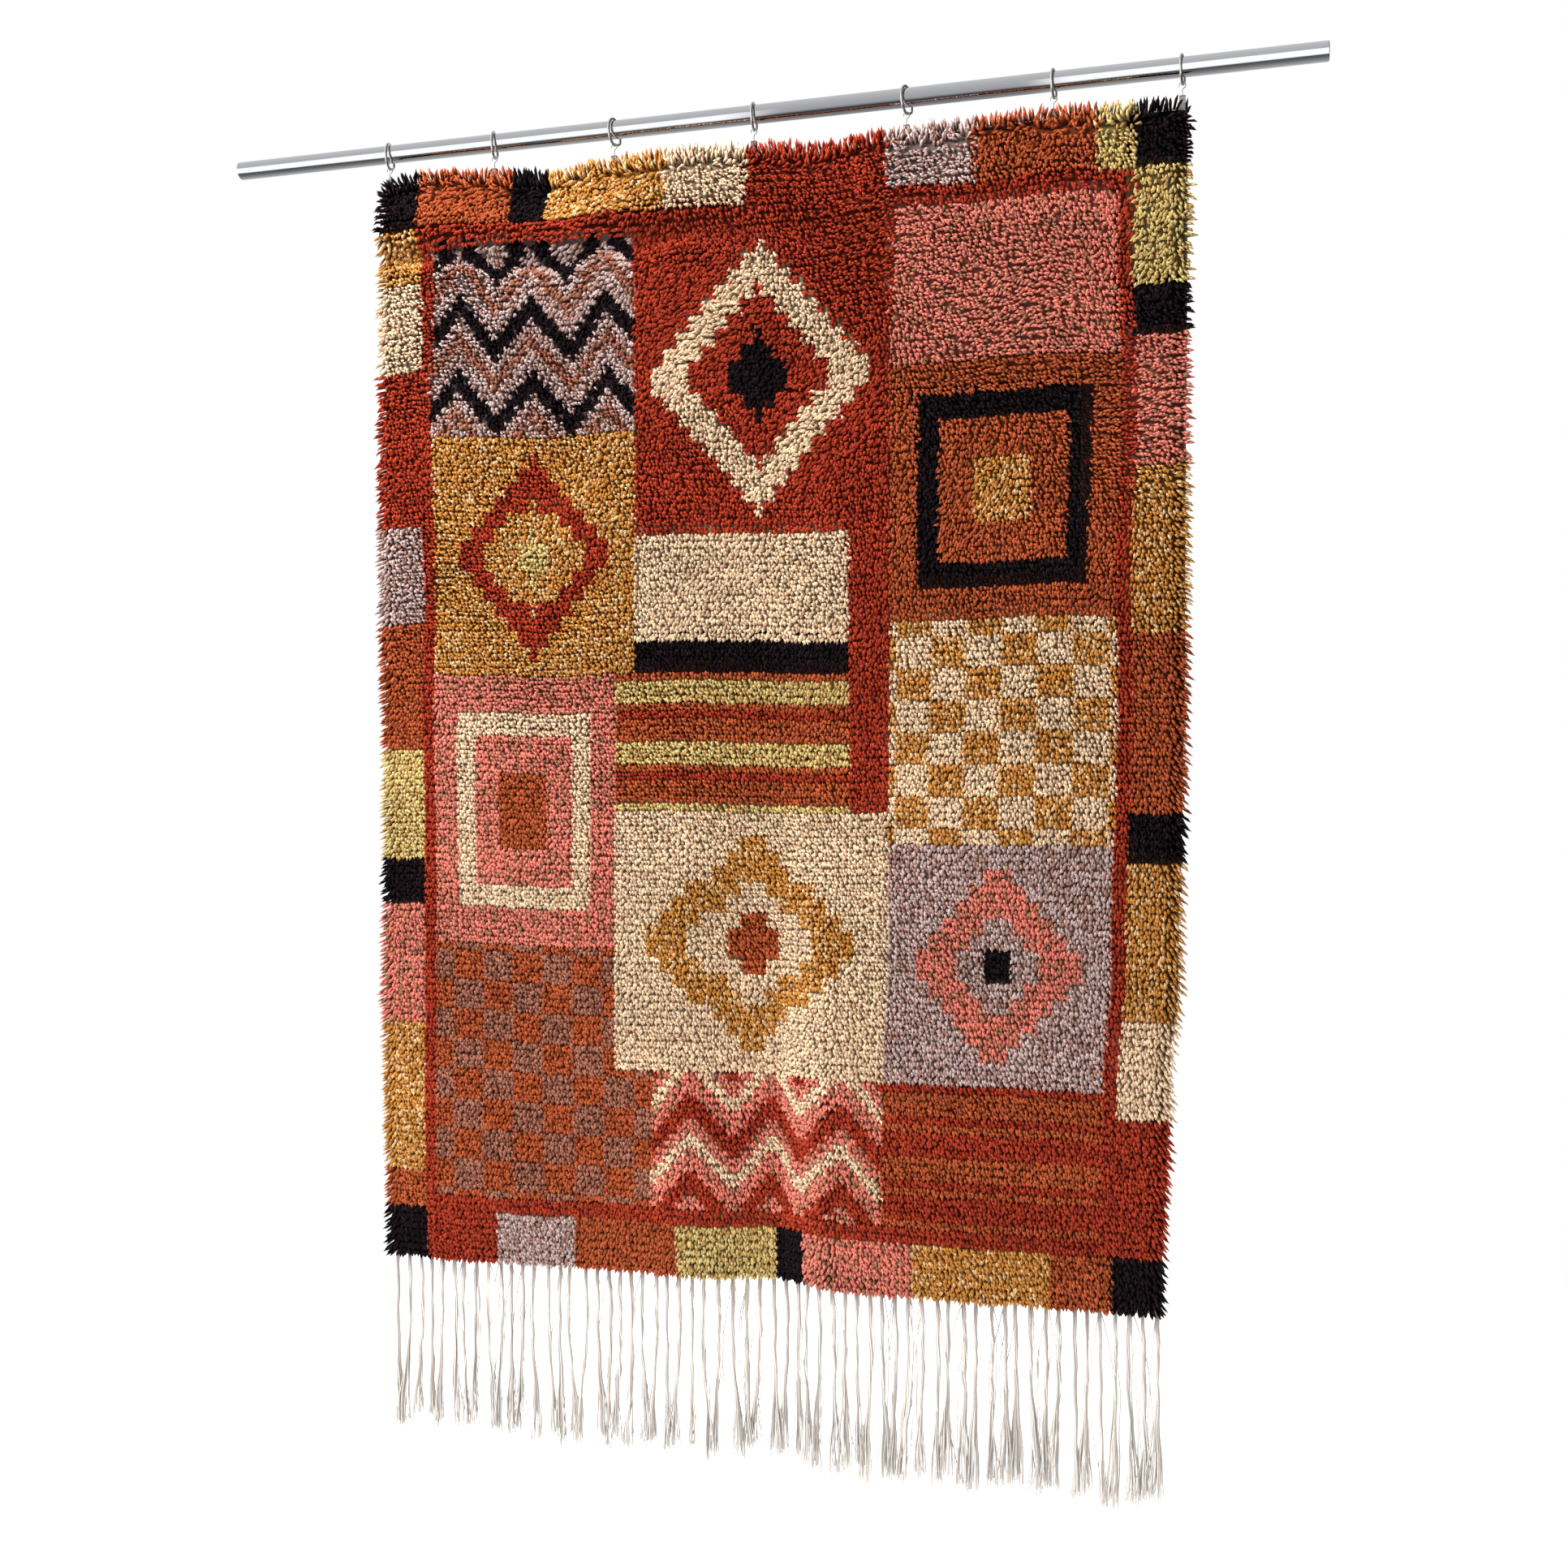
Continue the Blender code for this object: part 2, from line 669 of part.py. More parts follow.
def main():
    clear_scene()
    collection = new_collection("rya_rug_on_rod")
    cutters = new_collection("cutters")
    chrome = make_material("chrome", CHROME)
    steel = make_material("bright_steel", BRIGHT_STEEL)
    wire = make_material("steel_wire", STEEL_WIRE)
    sheet = make_material("clip_sheet", CLIP_METAL)
    wool = make_material("wool_pile", WOOL)
    cotton = make_material("cotton_warp", COTTON)
    make_rod(collection, chrome)
    for number, hanger in enumerate(HANGERS, 1):
        make_ring(f"ring_{number}", hanger, collection, steel)
        make_hook(f"hook_{number}", hanger, collection, wire)
        make_clip(f"clip_{number}", hanger, collection, sheet)
    make_rug(collection, cutters, wool)
    make_fringe(collection, cotton)


main()
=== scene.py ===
"""Looks of the rya rug on its hanging rod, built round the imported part.

The rod lies along X with its axis through the origin. The rug hangs in the XZ plane and faces -Y.
Lengths are in metres. A place on the cloth is given by across, from 0 at its left edge to 1, and
down, from 0 at its top edge to 1. Depth is the distance down from the top edge.
"""

import math
import random
from collections import namedtuple

import bpy
import numpy as np
from bpy.props import FloatProperty, FloatVectorProperty, IntProperty, PointerProperty
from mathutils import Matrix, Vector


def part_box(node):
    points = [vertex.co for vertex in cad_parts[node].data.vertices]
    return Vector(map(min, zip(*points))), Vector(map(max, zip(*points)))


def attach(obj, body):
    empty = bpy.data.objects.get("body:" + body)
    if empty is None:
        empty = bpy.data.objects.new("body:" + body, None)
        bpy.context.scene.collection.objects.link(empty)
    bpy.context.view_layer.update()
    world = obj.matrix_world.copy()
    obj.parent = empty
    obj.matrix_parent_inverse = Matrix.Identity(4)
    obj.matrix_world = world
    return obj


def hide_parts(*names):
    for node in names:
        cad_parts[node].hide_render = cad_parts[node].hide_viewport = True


bl_info = {
    "name": "Rya Rug on a Hanging Rod",
    "version": (1, 0, 0),
    "blender": (4, 5, 0),
    "location": "View3D > Sidebar > Rya Rug",
    "description": "Builds the knotted pile, ground weave, fringe and hanging hardware of a rya rug",
    "category": "Object",
}

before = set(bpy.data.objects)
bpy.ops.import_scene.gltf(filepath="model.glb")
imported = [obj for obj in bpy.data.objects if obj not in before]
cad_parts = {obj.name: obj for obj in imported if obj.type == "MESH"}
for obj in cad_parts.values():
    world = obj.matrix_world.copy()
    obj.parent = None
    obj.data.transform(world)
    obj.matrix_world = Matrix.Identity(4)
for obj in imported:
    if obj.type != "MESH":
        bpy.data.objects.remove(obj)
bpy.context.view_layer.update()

# Gap kept between pieces that touch, as in the solids
GAP = 0.0003

# Edges of a metal piece sharper than this are shaded sharp
SHARP_EDGE = math.radians(40)

# Away from the viewer, a direction that neither the hooks nor the fringe take
BACK = np.array([0.0, 1.0, 0.0])

# Rod
ROD_DIAMETER = 0.030
ROD_LEFT = -0.966
ROD_RIGHT = 0.887
ROD_EDGE = 0.001
ROD_SIDES = 72
ROD_RINGS = 30

# Hangers, one row for each ring with its hook and clip: the place along the rod, the ring's turn
# in degrees and the height of the cloth's top edge there. Up to the next row, sag is how far that
# edge drops (+) or lifts (-) halfway, and bow how far it swings back (+) or forwards (-).
Hanger = namedtuple("Hanger", "x turn edge sag bow")
HANGERS = (
    Hanger(-0.670, 10.5, -0.058, -0.005, -0.006),
    Hanger(-0.471, 12.5, -0.061, 0.008, 0.008),
    Hanger(-0.252, -5.5, -0.063, -0.004, -0.008),
    Hanger(-0.008, 4.5, -0.064, 0.008, 0.007),
    Hanger(0.246, -12.0, -0.061, 0.003, -0.007),
    Hanger(0.479, -4.0, -0.056, 0.004, -0.006),
    Hanger(0.674, -6.5, -0.062, 0.000, 0.000),
)
HANGER_X, HANGER_TURN, HANGER_EDGE, HANGER_SAG, HANGER_BOW = np.array(HANGERS).T

# Ring: round but for a bent corner at its lower back, cut open at the bottom
RING_OUTER = 0.048
RING_WIRE = 0.0045
RING_SIDES = 14
RING_ARC_POINTS = 60
RING_ARC_END = math.radians(-12)
RING_CORNER = (0.0215, -0.0130)
RING_CUT = 0.0007
RING_RADIUS = (RING_OUTER - RING_WIRE) / 2
RING_CENTRE = ROD_DIAMETER / 2 + GAP - (RING_RADIUS - RING_WIRE / 2)
RING_FLOOR = RING_CENTRE - RING_RADIUS + RING_WIRE / 2

# Hook: an open loop round the ring's lowest wire, and a shank down to the clip
HOOK_WIRE = 0.0013
HOOK_SIDES = 10
HOOK_LOOP_RADIUS = 0.0050
HOOK_LOOP_POINTS = 34
HOOK_LOOP_START = math.radians(205)
HOOK_LOOP_END = math.radians(-40)
HOOK_BEND = 0.22 * HOOK_LOOP_RADIUS
HOOK_CENTRE = RING_FLOOR + GAP + HOOK_WIRE / 2 - HOOK_LOOP_RADIUS

# Clip: a strip of sheet metal bent over the cloth's top edge, with lines pressed across it
CLIP_TOP = -0.044
CLIP_HEIGHT = 0.028
CLIP_WIDTH = 0.0095
CLIP_SHEET = 0.0012
CLIP_ROUND = 0.0011
CLIP_LINES = (0.0035, 0.0065, 0.0095)
CLIP_LINE_WIDTH = 0.0007
CLIP_LINE_RISE = 0.0004
CLIP_ROUNDING = 0.0002
WEB = 0.005
CLIP_HALF = WEB / 2 + GAP + CLIP_SHEET

# Cloth
BOTTOM_EDGE = -1.910
HANG = HANGERS[0].edge - BOTTOM_EDGE
PILE_THICKNESS = 0.027
# The ground weave laid flat
STEP = 0.002
Side = namedtuple("Side", "height left right")
SIDES = (
    Side(-0.06, -0.676, 0.682),
    Side(-0.87, -0.673, 0.678),
    Side(-1.39, -0.668, 0.668),
    Side(-1.55, -0.664, 0.654),
    Side(-1.91, -0.657, 0.642),
)

# Soft roll across the top left, a ridge with a hollow under it
ROLL_DEPTH = 0.100
ROLL_SWAY = 0.010
ROLL_SWAY_LENGTH = 0.55
ROLL_FORWARD = 0.014
ROLL_HOLLOW = 0.008
ROLL_HOLLOW_DROP = 0.048
ROLL_UPPER = 0.032
ROLL_LOWER = 0.024
ROLL_FADE = (-0.28, 0.08)
ROLL_KEPT = 0.25

# Vertical trough down the middle of the lower half
TROUGH_X = 0.040
TROUGH_LEFT = -0.140
TROUGH_RIGHT = 0.136
TROUGH_DEPTH = 0.046
TROUGH_START = 0.85
TROUGH_CREASE = 0.005

# Broad waves of the hanging cloth, one row each: depth of the wave, its lengths and phases
Wave = namedtuple("Wave", "size across down phase_x phase_z")
WAVES = (
    Wave(0.0060, 0.74, 1.30, 0.4, 1.1),
    Wave(0.0035, 0.43, 0.70, 2.1, 0.3),
)
WAVE_FADE = (0.03, 0.28)
BOW_FADE = 0.11

# Unevenness of the pile's face: its height, and the pace of two sine patterns in radians for each
# metre. Each has a share of the whole, and bend is how far the first one winds sideways.
LUMP = 0.0026
Ripple = namedtuple("Ripple", "across down phase share bend bend_down")
RIPPLES = (
    Ripple(43.0, 37.0, 0.6, 0.6, 1.7, 19.0),
    Ripple(29.0, -23.0, 2.0, 0.4, 0.0, 0.0),
)

# Lean of the pile: slow drifts of its angle in radians, which fade to a kept share further down
Drift = namedtuple("Drift", "size across down phase")
DRIFTS = (Drift(0.55, 5.1, -4.3, 0.6), Drift(0.40, -7.9, 11.7, 1.0), Drift(0.30, 19.0, 15.0, 2.0))
DRIFT_FADE = (0.25, 1.10)
DRIFT_KEPT = 0.22
# Strip along the side edges where the pile leans out, and how much it does
RIM_STRIP = 0.026
RIM_LEAN = 1.35
RIM_REACH = 0.45
# Share of its width that a yarn end loses there
RIM_THIN = 0.22
# Depth above which the pile stands up over the top edge, its sway along that edge, and how much
PARTING = 0.021
PARTING_SWAY = 0.006
PARTING_PACE = 27.0
UP_LEAN = 1.5
# How far the pile beside a clip falls back over it
CLIP_COVER = 1.6

# Tufts: width of one in knots, the stagger of its yarn ends, how they splay, and their scatter
TUFT_WIDTH = 0.86
TUFT_STAGGER = 0.42
TUFT_SPLAY = 0.7
TUFT_JITTER = 0.13
# A yarn end comes out of the knot bed, swells to its shoulder and closes at its cut tip
LOCK_ROOT = 0.60
LOCK_SHOULDER = 0.74
LOCK_BEND = 0.58
LOCK_SWELL = (0.92, 1.06)
# Colour at a yarn end's root, shoulder and tip: painted shade, darkest at the root, a little lighter at
# the tip
LOCK_PAINTED_SHADE = (0.55, 0.98, 1.08)
LOCK_SHADE = 0.12
# Factor on the yarn colours of the knot bed: painted shade, so that the bed shows as the shadow between
# the yarn ends
BED_PAINTED_SHADE = 0.22
# Round a clip the bed is low and no yarn end stands: distance to its side and under its jaw
CLIP_NEAR = (0.004, 0.009)
CLIP_BELOW = (0.001, 0.007)
CLIP_CLEAR = 0.85
CLIP_FLAT = 0.88
# Knots from the rim over which the bed rises, and its height at the rim
BED_RISE = 2.0
BED_RIM = 0.25
# Uneven dye: strength of the bands down the rug and of the drift across it
ABRASH_BANDS = 0.045
ABRASH_DRIFT = 0.03

# Fringe: bundles of warp threads under the cloth's bottom edge
BUNDLES = 61
BUNDLE_WIDTH = 0.0050
BUNDLE_JITTER = 0.0028
BUNDLE_LENGTH = (0.290, 0.312)
BUNDLE_END = 0.0092
BUNDLE_STRAIGHT = 0.35
BUNDLE_SWAY = 0.0035
BUNDLE_APART = 0.0026
BUNDLE_SEED = 11
HEADING_HEIGHT = 0.006
HEADING_THICKNESS = 0.0030
HEADING_SIDES = 10
HEADING_POINTS = 160
# Threads of a bundle: length as a share of the bundle's, turns round it and their scatter, where
# along it they come loose, their fray as a share of the usual one, curl, strays and crimp
THREAD_LENGTH = (0.95, 1.01)
THREAD_TURNS = (1.2, 0.5)
THREAD_LOOSE = (0.46, 0.74)
THREAD_FRAY = (0.55, 1.25)
THREAD_CURL = 0.0024
THREAD_SHADE = 0.12
STRAY_SHARE = 0.07
STRAY_SWING = 0.012
BUNDLE_BOW = 0.0022
CRIMP = 0.0008
CRIMP_PACE = 22.0
# How many neighbours swing together at their ends, repeated along the edge
BUNCHES = (2, 1, 2, 3, 2, 2, 1, 2, 2, 3, 1, 2)

# Yarns: colour, colour of the flecks spun or knotted in with it, and their share
Yarn = namedtuple("Yarn", "colour fleck share")
YARNS = {
    "night": Yarn("#150e11", "#21161a", 0.30),
    "rust": Yarn("#a5502e", "#8a4022", 0.30),
    "brick": Yarn("#9c3722", "#82291a", 0.30),
    "coral": Yarn("#d07565", "#9a664e", 0.30),
    "sand": Yarn("#dcbf9e", "#c2a283", 0.30),
    "mauve": Yarn("#b69d98", "#9a776c", 0.40),
    "plum": Yarn("#9a6350", "#7c4c3c", 0.35),
    "ochre": Yarn("#b37a3a", "#cfa878", 0.24),
    "straw": Yarn("#c4ac70", "#ae8b50", 0.32),
}

# Blocks of the border, as runs of knots, repeated round the rug
BORDER_COLUMNS = 7
BORDER_ROWS = 7
GUARD_WIDTH = 2
CORNER_BLOCK = (7, 7)
BORDER_RUNS = (
    ("rust", 22), ("night", 6), ("ochre", 19), ("sand", 12), ("brick", 21), ("mauve", 13),
    ("rust", 17), ("straw", 15), ("night", 6), ("coral", 16), ("ochre", 20),
)
BORDER_STARTS = {"top": 0, "bottom": 61, "left": 33, "right": 104}

# Patches of the field. Edges are in knots from the top left of the rug.
Patch = namedtuple("Patch", "left top right bottom ground motif figure core")
PATCHES = (
    Patch(9, 9, 42, 35, "mauve", "zigzag", "night", "plum"),
    Patch(9, 35, 42, 67, "ochre", "diamond", "brick", "straw"),
    Patch(9, 67, 39, 103, "coral", "frames", "sand", "rust"),
    Patch(9, 103, 45, 137, "rust", "checks", "plum", "brick"),
    Patch(42, 9, 81, 49, "brick", "diamond", "sand", "night"),
    Patch(42, 49, 75, 63, "sand", "plain", "mauve", "mauve"),
    Patch(39, 67, 75, 85, "rust", "bars", "straw", "brick"),
    Patch(42, 63, 75, 67, "night", "plain", "night", "night"),
    Patch(39, 85, 81, 119, "sand", "diamond", "ochre", "rust"),
    Patch(45, 119, 81, 137, "coral", "zigzag", "brick", "sand"),
    Patch(81, 9, 113, 29, "coral", "plain", "rust", "rust"),
    Patch(81, 29, 113, 61, "rust", "frames", "night", "ochre"),
    Patch(75, 49, 81, 85, "brick", "plain", "brick", "brick"),
    Patch(81, 61, 113, 89, "ochre", "checks", "sand", "sand"),
    Patch(81, 89, 113, 119, "mauve", "diamond", "coral", "night"),
    Patch(81, 119, 113, 137, "brick", "bars", "rust", "rust"),
)
# Sizes of the figures: rings of a diamond or frame as shares of the patch, the rest in knots
DIAMOND_RING = (0.62, 0.95)
DIAMOND_CORE = 0.34
FRAME_RING = (0.56, 0.74)
FRAME_CORE = 0.26
ZIGZAG_WIDTH = 12
ZIGZAG_LINE = 10
CHECK_SIZE = (5, 4)
BAR_HEIGHT = 8

# The studio as the chrome shows it, by the angle in degrees up from the front (+) or down (-),
# for the two ends of the rod and for its middle
STUDIO_ENDS = (
    (-180, "#bbbbbb"), (-90, "#666666"), (-55, "#444444"), (-40, "#ffffff"), (10, "#ffffff"),
    (20, "#aaaaaa"), (180, "#cccccc"),
)
STUDIO_MIDDLE = (
    (-180, "#999999"), (-90, "#555555"), (-55, "#333333"), (-30, "#999999"), (30, "#aaaaaa"),
    (180, "#cccccc"),
)
# Sideways part of a direction between which the chrome shows the middle, and beyond which the
# studio is dark on the right and white on the left
STUDIO_INSIDE = (-0.275, -0.235, -0.100, -0.070)
STUDIO_RIGHT = (0.15, 0.40)
STUDIO_LEFT = (-0.58, -0.75)

# Lamp and camera: places, turns in degrees, and the camera's lens in millimetres
LAMP_SIZE = 1.8
LAMP_PLACE = (-2.5, -2.3, 2.3)
LAMP_TURN = (46, 0, -47)
CAMERA_PLACE = (0.6976, -2.485, -1.0792)
CAMERA_TURN = (90, 0, 14.76)
CAMERA_LENS = 36.11
CAMERA_SHIFT = -15 / 1932

# Floor: a disc of rings of quads
FLOOR_SIDES = 64
FLOOR_RINGS = 12


def linear(code):
    """A hex colour in sRGB, such as "#a5532e", as linear red, green, blue and 1."""
    parts = [int(code[place:place + 2], 16) / 255 for place in (1, 3, 5)]
    turned = [part / 12.92 if part <= 0.04045 else ((part + 0.055) / 1.055) ** 2.4 for part in parts]
    return (*turned, 1.0)


def smooth(low, high, value):
    """Rises from 0 at low to 1 at high, level at both ends."""
    part = np.clip((value - low) / (high - low), 0.0, 1.0)
    return part * part * (3.0 - 2.0 * part)


def unit(vectors):
    """The same directions with length 1."""
    return vectors / np.linalg.norm(vectors, axis=-1, keepdims=True)


def spans(x):
    """Number of the hanger to the left of each x, and how far x is from it to the next."""
    first = np.clip(np.searchsorted(HANGER_X, x) - 1, 0, len(HANGERS) - 2)
    part = (x - HANGER_X[first]) / (HANGER_X[first + 1] - HANGER_X[first])
    return first, np.clip(part, 0.0, 1.0)


def top_edge(x):
    """Height of the top edge: eased between the clips, less a squared sine for the sag."""
    first, part = spans(x)
    rise = (HANGER_EDGE[first + 1] - HANGER_EDGE[first]) * smooth(0.0, 1.0, part)
    return HANGER_EDGE[first] + rise - HANGER_SAG[first] * np.sin(np.pi * part) ** 2


def side_edges(height):
    """Left and right edge of the cloth at a height, eased between the rows of SIDES."""
    rows = np.array(SIDES)
    upper = np.clip(np.searchsorted(-rows[:, 0], -height) - 1, 0, len(SIDES) - 2)
    part = smooth(rows[upper, 0], rows[upper + 1, 0], height)
    left = rows[upper, 1] + (rows[upper + 1, 1] - rows[upper, 1]) * part
    return left, rows[upper, 2] + (rows[upper + 1, 2] - rows[upper, 2]) * part


def fold(x, depth):
    """How far back (+) the cloth hangs: bows between the clips, a bell-shaped ridge with a hollow
    below it at the top left, an eased trough that deepens downwards, and two broad sine waves."""
    first, part = spans(x)
    bow = HANGER_BOW[first] * np.sin(np.pi * part) ** 2 * np.exp(-((depth / BOW_FADE) ** 2))
    ridge = ROLL_DEPTH + ROLL_SWAY * np.sin(2 * np.pi * x / ROLL_SWAY_LENGTH)
    width = np.where(depth < ridge, ROLL_UPPER, ROLL_LOWER)
    strength = 1.0 - (1.0 - ROLL_KEPT) * smooth(*ROLL_FADE, x)
    roll = -ROLL_FORWARD * np.exp(-(((depth - ridge) / width) ** 2))
    hollow = ROLL_HOLLOW * np.exp(-(((depth - ridge - ROLL_HOLLOW_DROP) / ROLL_LOWER) ** 2))
    left_side = smooth(TROUGH_LEFT, TROUGH_X, x)
    across = np.where(x < TROUGH_X, left_side, 1.0 - smooth(TROUGH_X, TROUGH_RIGHT, x))
    down = TROUGH_CREASE * smooth(*WAVE_FADE, depth)
    down = down + (TROUGH_DEPTH - TROUGH_CREASE) * smooth(TROUGH_START, -BOTTOM_EDGE, depth)
    waves = 0.0
    for wave in WAVES:
        across_part = np.sin(2 * np.pi * x / wave.across + wave.phase_x)
        down_part = np.cos(2 * np.pi * depth / wave.down + wave.phase_z)
        waves = waves + wave.size * across_part * down_part
    return bow + strength * (roll + hollow) + across * down + waves * smooth(*WAVE_FADE, depth)


def lump(x, depth):
    """Unevenness of the pile's face, from -1 to 1: a bent grid of knolls and a slanting ripple."""
    grid, slant = RIPPLES
    bent = grid.across * x + grid.bend * np.sin(grid.bend_down * depth)
    knolls = np.sin(bent) * np.cos(grid.down * depth + grid.phase)
    ripple = np.sin(slant.across * x + slant.down * depth + slant.phase)
    return grid.share * knolls + slant.share * ripple


def cloth(across, down):
    """Places in the middle of the ground weave: straight from side to side and from the top edge
    to the bottom one, set back by fold()."""
    left, right = side_edges(HANGERS[0].edge - HANG * down)
    x = left + (right - left) * across
    top = top_edge(x)
    height = top + (BOTTOM_EDGE - top) * down
    return np.stack([x, fold(x, top - height), height], axis=-1)


def cloth_ways(across, down):
    """Unit vectors of the cloth to the right, down and out of its face, from small steps."""
    right = unit(cloth(across + STEP, down) - cloth(across - STEP, down))
    lower = unit(cloth(across, down + STEP) - cloth(across, down - STEP))
    return right, lower, unit(np.cross(lower, right))


def cloth_grid(columns, rows):
    """Places across and down at the corners of a grid over the whole cloth."""
    return np.meshgrid(np.linspace(0.0, 1.0, columns + 1), np.linspace(0.0, 1.0, rows + 1))


def add_piece(name, places, faces, material):
    """A smooth mesh object from an array of places and arrays of faces, one for each face size."""
    corners = np.concatenate([part.ravel() for part in faces])
    sizes = np.concatenate([np.full(len(part), part.shape[1]) for part in faces])
    mesh = bpy.data.meshes.new(name)
    mesh.vertices.add(len(places))
    mesh.vertices.foreach_set("co", places.astype(np.float32).ravel())
    mesh.loops.add(len(corners))
    mesh.loops.foreach_set("vertex_index", corners.astype(np.int32))
    mesh.polygons.add(len(sizes))
    mesh.polygons.foreach_set("loop_start", (np.cumsum(sizes) - sizes).astype(np.int32))
    mesh.update(calc_edges=True)
    mesh.validate()
    mesh.shade_smooth()
    mesh.materials.append(material)
    made = bpy.data.objects.new(name, mesh)
    bpy.context.scene.collection.objects.link(made)
    return made


def add_map(piece, name, places):
    """A UV map from one place for each face corner."""
    layer = piece.data.uv_layers.new(name=name, do_init=False)
    layer.data.foreach_set("uv", places.astype(np.float32).ravel())


def add_colours(piece, colours, domain):
    """The yarn's colour as an attribute on points or face corners, from linear red, green, blue."""
    layer = piece.data.color_attributes.new("yarn", "FLOAT_COLOR", domain)
    whole = np.concatenate([colours, np.ones((len(colours), 1))], axis=1)
    layer.data.foreach_set("color", whole.astype(np.float32).ravel())


def yarn_colours(field):
    """Linear red, green and blue of the main colour or the fleck of every yarn."""
    return np.array([linear(getattr(yarn, field))[:3] for yarn in YARNS.values()])


Sweep = namedtuple("Sweep", "places faces path ring corner_path around along")


def circles(ahead, sides, sideways):
    """Points of a circle of radius 1 across each direction, the first one towards sideways."""
    first = unit(sideways - np.sum(sideways * ahead, axis=-1, keepdims=True) * ahead)
    second = np.cross(ahead, first)
    turn = 2 * np.pi * np.arange(sides) / sides
    return np.cos(turn)[:, None] * first[:, :, None] + np.sin(turn)[:, None] * second[:, :, None]


def sweep(paths, radii, sides, sideways):
    """Round bars along many paths at once: rings of points at a radius round each path, joined
    by quads and closed by a flat cap at both ends. sideways is a direction that no path takes.
    Also gives each point's path and ring, and each face corner's path and place round and along."""
    count, steps, _ = paths.shape
    ahead = unit(np.gradient(paths, axis=1))
    turn = 2 * np.pi * np.arange(sides) / sides
    ring = circles(ahead, sides, np.broadcast_to(sideways, (count, 3))[:, None, :])
    places = paths[:, :, None] + np.broadcast_to(radii, (count, steps))[..., None, None] * ring
    start = np.arange(count)[:, None, None] * steps * sides
    row = start + np.arange(steps - 1)[None, :, None] * sides
    this, after = np.arange(sides), (np.arange(sides) + 1) % sides
    quads = np.stack([row + this, row + after, row + sides + after, row + sides + this], axis=-1)
    low = (start[:, 0] + this[::-1]).reshape(count, sides)
    high = (start[:, 0] + (steps - 1) * sides + this).reshape(count, sides)
    number = np.repeat(np.arange(count), steps * sides)
    ring_of = np.tile(np.repeat(np.arange(steps), sides), count)
    quad_path = np.repeat(np.arange(count), (steps - 1) * sides * 4)
    quad_round = np.stack([this, this + 1, this + 1, this], axis=-1) / sides
    quad_round = np.tile(quad_round.ravel(), count * (steps - 1))
    lift = np.stack([np.arange(steps - 1)] * 2 + [np.arange(1, steps)] * 2, axis=-1)
    quad_along = np.tile(np.repeat(lift, sides, axis=0).ravel(), count) / (steps - 1)
    cap_path = np.repeat(np.arange(count), sides)
    cap_round = 0.5 + 0.45 * np.cos(turn)
    cap_rise = 0.035 * np.sin(turn)
    around = np.concatenate([quad_round, np.tile(cap_round[::-1], count), np.tile(cap_round, count)])
    along = np.concatenate([
        0.08 + 0.84 * quad_along,
        np.tile(0.04 + cap_rise[::-1], count),
        np.tile(0.96 + cap_rise, count),
    ])
    corner_path = np.concatenate([quad_path, cap_path, cap_path])
    faces = [quads.reshape(-1, 4), low, high]
    return Sweep(places.reshape(-1, 3), faces, number, ring_of, corner_path, around, along)


def yarn_ends(paths, radii, sideways):
    """Many pointed bars at once, each along three places: three points round the first, three
    round the second at the two radii, and one at the third. Gives the same as sweep()."""
    count = len(paths)
    ahead = unit(np.stack([paths[:, 1] - paths[:, 0], paths[:, 2] - paths[:, 0]], axis=1))
    rings = paths[:, :2, None] + radii[..., None, None] * circles(ahead, 3, sideways[:, None])
    places = np.concatenate([rings.reshape(count, 6, 3), paths[:, 2:]], axis=1).reshape(-1, 3)
    quads = np.array([[0, 1, 4, 3], [1, 2, 5, 4], [2, 0, 3, 5]])
    tips = np.array([[3, 4, 6], [4, 5, 6], [5, 3, 6]])
    foot = np.array([[2, 1, 0]])
    start = 7 * np.arange(count)[:, None, None]
    faces = [(start + part).reshape(-1, part.shape[1]) for part in (quads, tips, foot)]
    thirds = np.arange(3)[:, None]
    rounds = [(thirds + [0, 1, 1, 0]) / 3, (thirds + [0, 1, 0.5]) / 3, np.array([0.9, 0.5, 0.1])]
    levels = [np.tile([0.10, 0.10, 0.65, 0.65], 3), np.tile([0.65, 0.65, 0.96], 3), [0.05, 0.01, 0.05]]
    return Sweep(
        places,
        faces,
        np.repeat(np.arange(count), 7),
        np.tile([0, 0, 0, 1, 1, 1, 2], count),
        np.concatenate([np.repeat(np.arange(count), len(level)) for level in levels]),
        np.concatenate([np.tile(np.ravel(part), count) for part in rounds]),
        np.concatenate([np.tile(level, count) for level in levels]),
    )


def round_off(points, times):
    """Cuts each corner of a line at a quarter and three quarters of its steps, several times."""
    points = np.asarray(points, float)
    for _ in range(times):
        near = 0.75 * points[:-1] + 0.25 * points[1:]
        far = 0.25 * points[:-1] + 0.75 * points[1:]
        cut = np.stack([near, far], axis=1).reshape(-1, points.shape[1])
        points = np.concatenate([points[:1], cut, points[-1:]])
    return points


def shell(front, back):
    """Places and faces of a closed shell between two grids of points that face -Y and +Y."""
    rows, columns, _ = front.shape
    number = np.arange(rows * columns).reshape(rows, columns)
    quads = np.stack([number[:-1, :-1], number[1:, :-1], number[1:, 1:], number[:-1, 1:]], axis=-1)
    quads = quads.reshape(-1, 4)
    loop = np.concatenate([
        number[:-1, 0], number[-1, :-1], number[:0:-1, -1], number[0, :0:-1],
    ])
    after = np.roll(loop, -1)
    total = rows * columns
    rim = np.stack([after, loop, loop + total, after + total], axis=-1)
    places = np.concatenate([front.reshape(-1, 3), back.reshape(-1, 3)])
    return places, [quads, quads[:, ::-1] + total, rim]


def map_shell(piece, name, faces, columns, rows):
    """A UV map of a shell, in which columns and rows run across and down both of its sides."""
    grid = np.stack(np.meshgrid(columns, rows), axis=-1).reshape(-1, 2)
    corners = np.concatenate([part.ravel() for part in faces])
    add_map(piece, name, np.concatenate([grid, grid])[corners])


